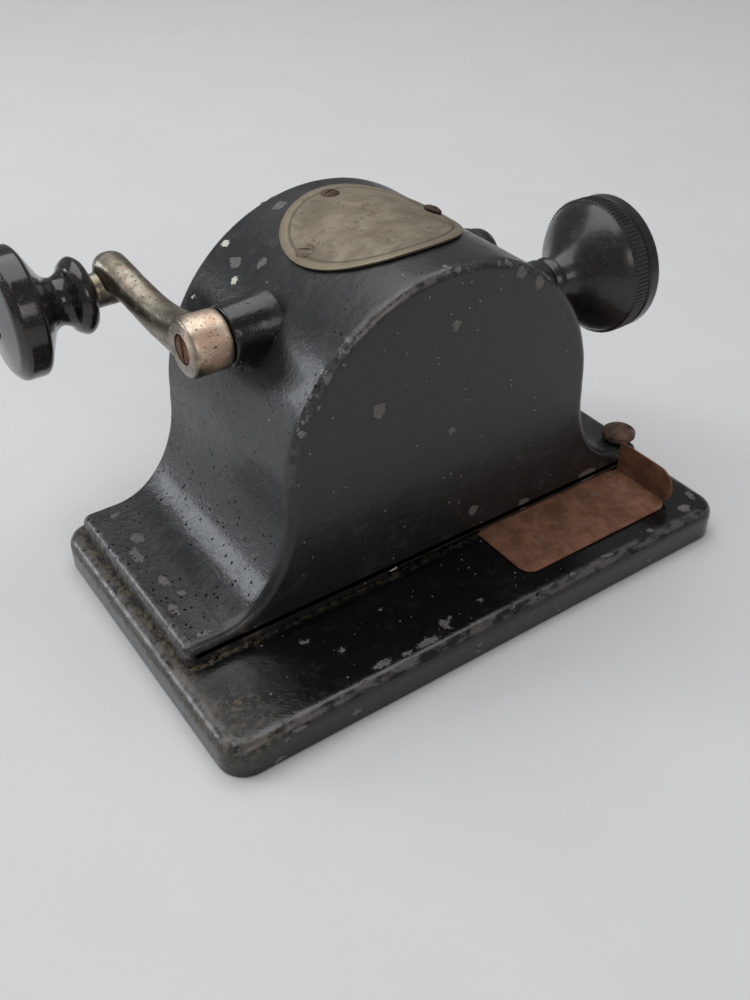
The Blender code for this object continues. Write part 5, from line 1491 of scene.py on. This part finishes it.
def sliding_jaw(vise, x):
    line = [(36.6, 50.1), (38.4, 48.3), (48.0, 48.3), (48.0, 61.5), (44.5, JAW_TOP_Z),
            (37.2, JAW_TOP_Z), (36.6, JAW_TOP_Z - 0.6)]
    grooves = [block(x - 20, x + 20, 34.0, 36.85, z, z + 0.3)
               for z in (58.6, 59.8, 61.0, 62.2, 63.4)]
    mesh = carve(bevelled(line, "x", x - VISE_HALF_W, x + VISE_HALF_W, edge=0.3, flat=0.3),
                 cuts=[bar(38.7, 52.0, 2.8, (x, CLAMP_Z), 48)] + grooves)
    piece(vise + "_jaw", mesh, vise + "_jaw", TOOL_STEEL, sharp=24)


def clamp_screw(vise, x, ridges=36):
    grip = ridged(7.3, depth=0.34, ridges=ridges, power=0.8)
    # (y, radius)
    profile = [
        (43.0, 2.1), (43.4, 2.5), (51.4, 2.5), (51.4, 4.0), (51.6, 4.2), (52.2, 4.2), (52.4, 4.0),
        (52.4, 2.5), *thread(52.45, 57.7, major=2.5, depth=0.26, lead=1.0, starts=1, per_pitch=8),
        (57.9, 2.5), (57.9, 4.6), (58.1, 4.8), (59.3, 4.8), (59.6, 5.0), (59.9, 6.2), (60.4, grip),
        (62.4, grip), (64.6, grip), (66.8, grip), (69.0, grip), (69.6, 6.8), (70.1, 6.3),
        (70.35, 5.6), (70.4, 4.6), (69.9, 4.0)]
    piece(vise + "_clamp_screw", along_y(capped(profile), (x, CLAMP_Z), ridges * 6),
          vise + "_clamp", CLAMP_NICKEL, sharp=44, weighted=False)


vise_table()
for vise, x in (("pattern", TRACER_X), ("blank", CUTTER_X)):
    sliding_jaw(vise, x)
    clamp_screw(vise, x)


# ================================================================== tracer bracket
def tracer():
    x = TRACER_X
    # angle bracket in (y, z)
    line = [(55.0, 71.0), (57.6, 71.7), (59.0, 73.6), (59.0, 111.8), (58.4, 113.2), (57.0, 113.8),
            (55.0, 113.8), (55.0, 79.4), (54.5, 78.1), (53.2, 77.6), (33.0, 77.6), (32.4, 77.0),
            (32.4, 71.6), (33.0, 71.0)]
    cuts = [bar(50, 65, 1.8, (x, z), 40) for z in BRACKET_SCREWS_Z]
    cuts += [post(60, 90, 1.8, (x, KEY_Y), 40), rod(x - 12, x + 0.2, 1.5, SET_SCREW, 32)]
    mesh = carve(prism(line, "x", x - 6, x + 6), cuts=cuts, voxel=0.42, smooth=5)
    piece("tracer_bracket", mesh, "base", CAST_ENAMEL, sharp=50, weighted=False)
    pin = solid([(68.4, 0.8), (70.0, 1.5), (78.3, 1.5)], 0.25)
    piece("tracer_pin", along_z(pin, (x, KEY_Y), 48), "base", TOOL_STEEL)
    slot = slab((x - 9.5, *SET_SCREW), (1, 0, 0), 0.4, 2.0, 0.22, -1.0, 0.7)
    mesh = carve(rod(x - 9.5, x - 1.8, 1.2, SET_SCREW, 40), cuts=[slot])
    piece("tracer_set_screw", mesh, "base", STEEL)
    screw = solid([(47.0, 1.4), (59.3, 1.4), (59.3, 2.7), (60.4, 2.7), (61.0, 2.1)], 0.25)
    for label, angle, z in zip(("lower", "upper"), (0.3, 1.2), BRACKET_SCREWS_Z):
        slot = slab((x, 0, z), (0, 1, 0), angle, 4.0, 0.35, 60.2, 63.0)
        piece("bracket_screw_" + label, carve(along_y(screw, (x, z), 48), cuts=[slot]), "base",
              STEEL)


tracer()


# ============================================================================ tray
def chip_tray():
    """Flat sheet with a turned-up right end and a tongue under the back wall."""
    z0 = FLOOR_Z
    x0, x1, y0, y1, sheet = 16.9, 84.8, -51.5, -25.3, 0.7
    tongue, r = BACK_Y + 3.6, 5.0
    shoulder = y1 + 0.2
    floor = arc(x0 + r, y0 + r, r, 180, 270, 16) + arc(x1 - 0.5 - r, y0 + r, r, 270, 350, 14)
    floor += [(x1 - 0.2, y0 + 6), (x1 - 0.2, shoulder), (x1 - 3, shoulder), (x1 - 3, tongue),
              (x0 + 1.5, tongue), (x0 + 1.5, shoulder), (x0, shoulder)]
    top = z0 + 13.2
    wall = [(y0 + 3.0, z0 + 0.05), (shoulder, z0 + 0.05), (shoulder, top - 2.0),
            (y1 - 0.4, top - 0.6), (y1 - 1.8, top), *arc(y0 + 7, top - 7, 7, 90, 180, 15),
            (y0 + 0.3, z0 + 3.5), (y0 + 1.2, z0 + 1.4)]
    mesh = carve(bevelled(densify(floor, 2.5), "z", z0, z0 + sheet, edge=0.18, flat=0.25),
                 unions=[bevelled(wall, "x", x1 - sheet, x1, edge=0.15, flat=0.2)])
    piece("chip_tray", mesh, "tray", TRAY_RUST, sharp=40)


chip_tray()

# =========================================================================== stage
BACKDROP = (0.62, 0.63, 0.64)


def floor_material():
    """Pale matt surface that fades into the backdrop colour far out, for the camera only."""
    f = Finish("pale_surface")
    x, y, _ = f.xyz
    fine = f.noise(2.4, rough=0.65)
    f.colour = f.mix(f.noise(60.0), (0.630, 0.630, 0.632), (0.690, 0.690, 0.686))
    f.paint(fine, (0.56, 0.56, 0.56), share=0.10)
    f.rough = 0.72
    f.apply(Metallic=0.0)
    f.bump(fine, depth=0.05, strength=0.3)
    to_camera = f.wire("LightPath", {}, "Is Camera Ray")
    merged = f.wire("MixShader", {
        0: x.hypot(y).step(650.0, 1900.0) * to_camera,
        1: Signal(f, f.shader.outputs[0]),
        2: f.wire("Emission", {"Color": BACKDROP})})
    f.put(f.output.inputs[0], merged)
    return f.mat


def floor(half=6.0, steps=4):
    """A square grid on z = 0, in metres."""
    material = floor_material()
    ticks = [-half + 2 * half * i / steps for i in range(steps + 1)]
    verts = [(x, y, 0.0) for y in ticks for x in ticks]
    row = steps + 1
    faces = [[j * row + i, j * row + i + 1, (j + 1) * row + i + 1, (j + 1) * row + i]
             for j in range(steps) for i in range(steps)]
    mesh = bpy.data.meshes.new("floor")
    mesh.from_pydata(verts, [], faces)
    obj = bpy.data.objects.new("floor", mesh)
    mesh.materials.append(material)
    SCENE.collection.objects.link(obj)


def area(name, at, target, size, watts, colour):
    """A rectangular light, in metres, turned towards its target."""
    data = bpy.data.lights.new(name, "AREA")
    data.shape = "RECTANGLE"
    data.size, data.size_y = size
    data.energy, data.color = watts, colour
    obj = bpy.data.objects.new(name, data)
    SCENE.collection.objects.link(obj)
    obj.location = at
    obj.rotation_euler = (Vector(target) - Vector(at)).to_track_quat("-Z", "Y").to_euler()


def studio_world():
    """Soft grey light; the camera alone sees the backdrop, so it adds no light."""
    world = bpy.data.worlds.new("studio")
    world.use_nodes = True
    nodes, links = world.node_tree.nodes, world.node_tree.links
    ambient = nodes["Background"]
    ambient.inputs["Color"].default_value = (0.80, 0.82, 0.85, 1.0)
    ambient.inputs["Strength"].default_value = 0.27
    wall = nodes.new("ShaderNodeBackground")
    wall.inputs["Color"].default_value = (*BACKDROP, 1.0)
    pick = nodes.new("ShaderNodeMixShader")
    ray = nodes.new("ShaderNodeLightPath")
    links.new(ray.outputs["Is Camera Ray"], pick.inputs[0])
    links.new(ambient.outputs[0], pick.inputs[1])
    links.new(wall.outputs[0], pick.inputs[2])
    output = next(n for n in nodes if n.type == "OUTPUT_WORLD")
    links.new(pick.outputs[0], output.inputs[0])
    SCENE.world = world


def place_camera():
    lens = bpy.data.cameras.new("camera")
    lens.lens, lens.sensor_width, lens.sensor_fit = 38.58, 36.0, "AUTO"
    lens.clip_start = 0.01
    camera = bpy.data.objects.new("camera", lens)
    SCENE.collection.objects.link(camera)
    right, up, back = (0.8216, -0.5701, 0.0), (0.3495, 0.5037, 0.7901), (-0.4504, -0.6491, 0.6131)
    matrix = Matrix((right, up, back)).transposed().to_4x4()
    matrix.translation = Vector((-0.1771, -0.2418, 0.2523))
    camera.matrix_world = matrix
    SCENE.camera = camera


floor()
area("overhead", at=(-0.10, 0.35, 1.35), target=(0.0, 0.0, 0.06), size=(1.7, 1.4), watts=17.0,
     colour=(0.98, 0.985, 1.0))
area("window", at=(-0.95, 0.85, 0.42), target=(0.0, 0.0, 0.08), size=(0.42, 0.50), watts=4.6,
     colour=(0.88, 0.94, 1.0))
area("camera_side", at=(-0.15, -1.25, 0.75), target=(0.0, 0.0, 0.06), size=(0.9, 0.5), watts=3.7,
     colour=(1.0, 0.93, 0.90))
studio_world()
SCENE.view_settings.view_transform = "Standard"
place_camera()
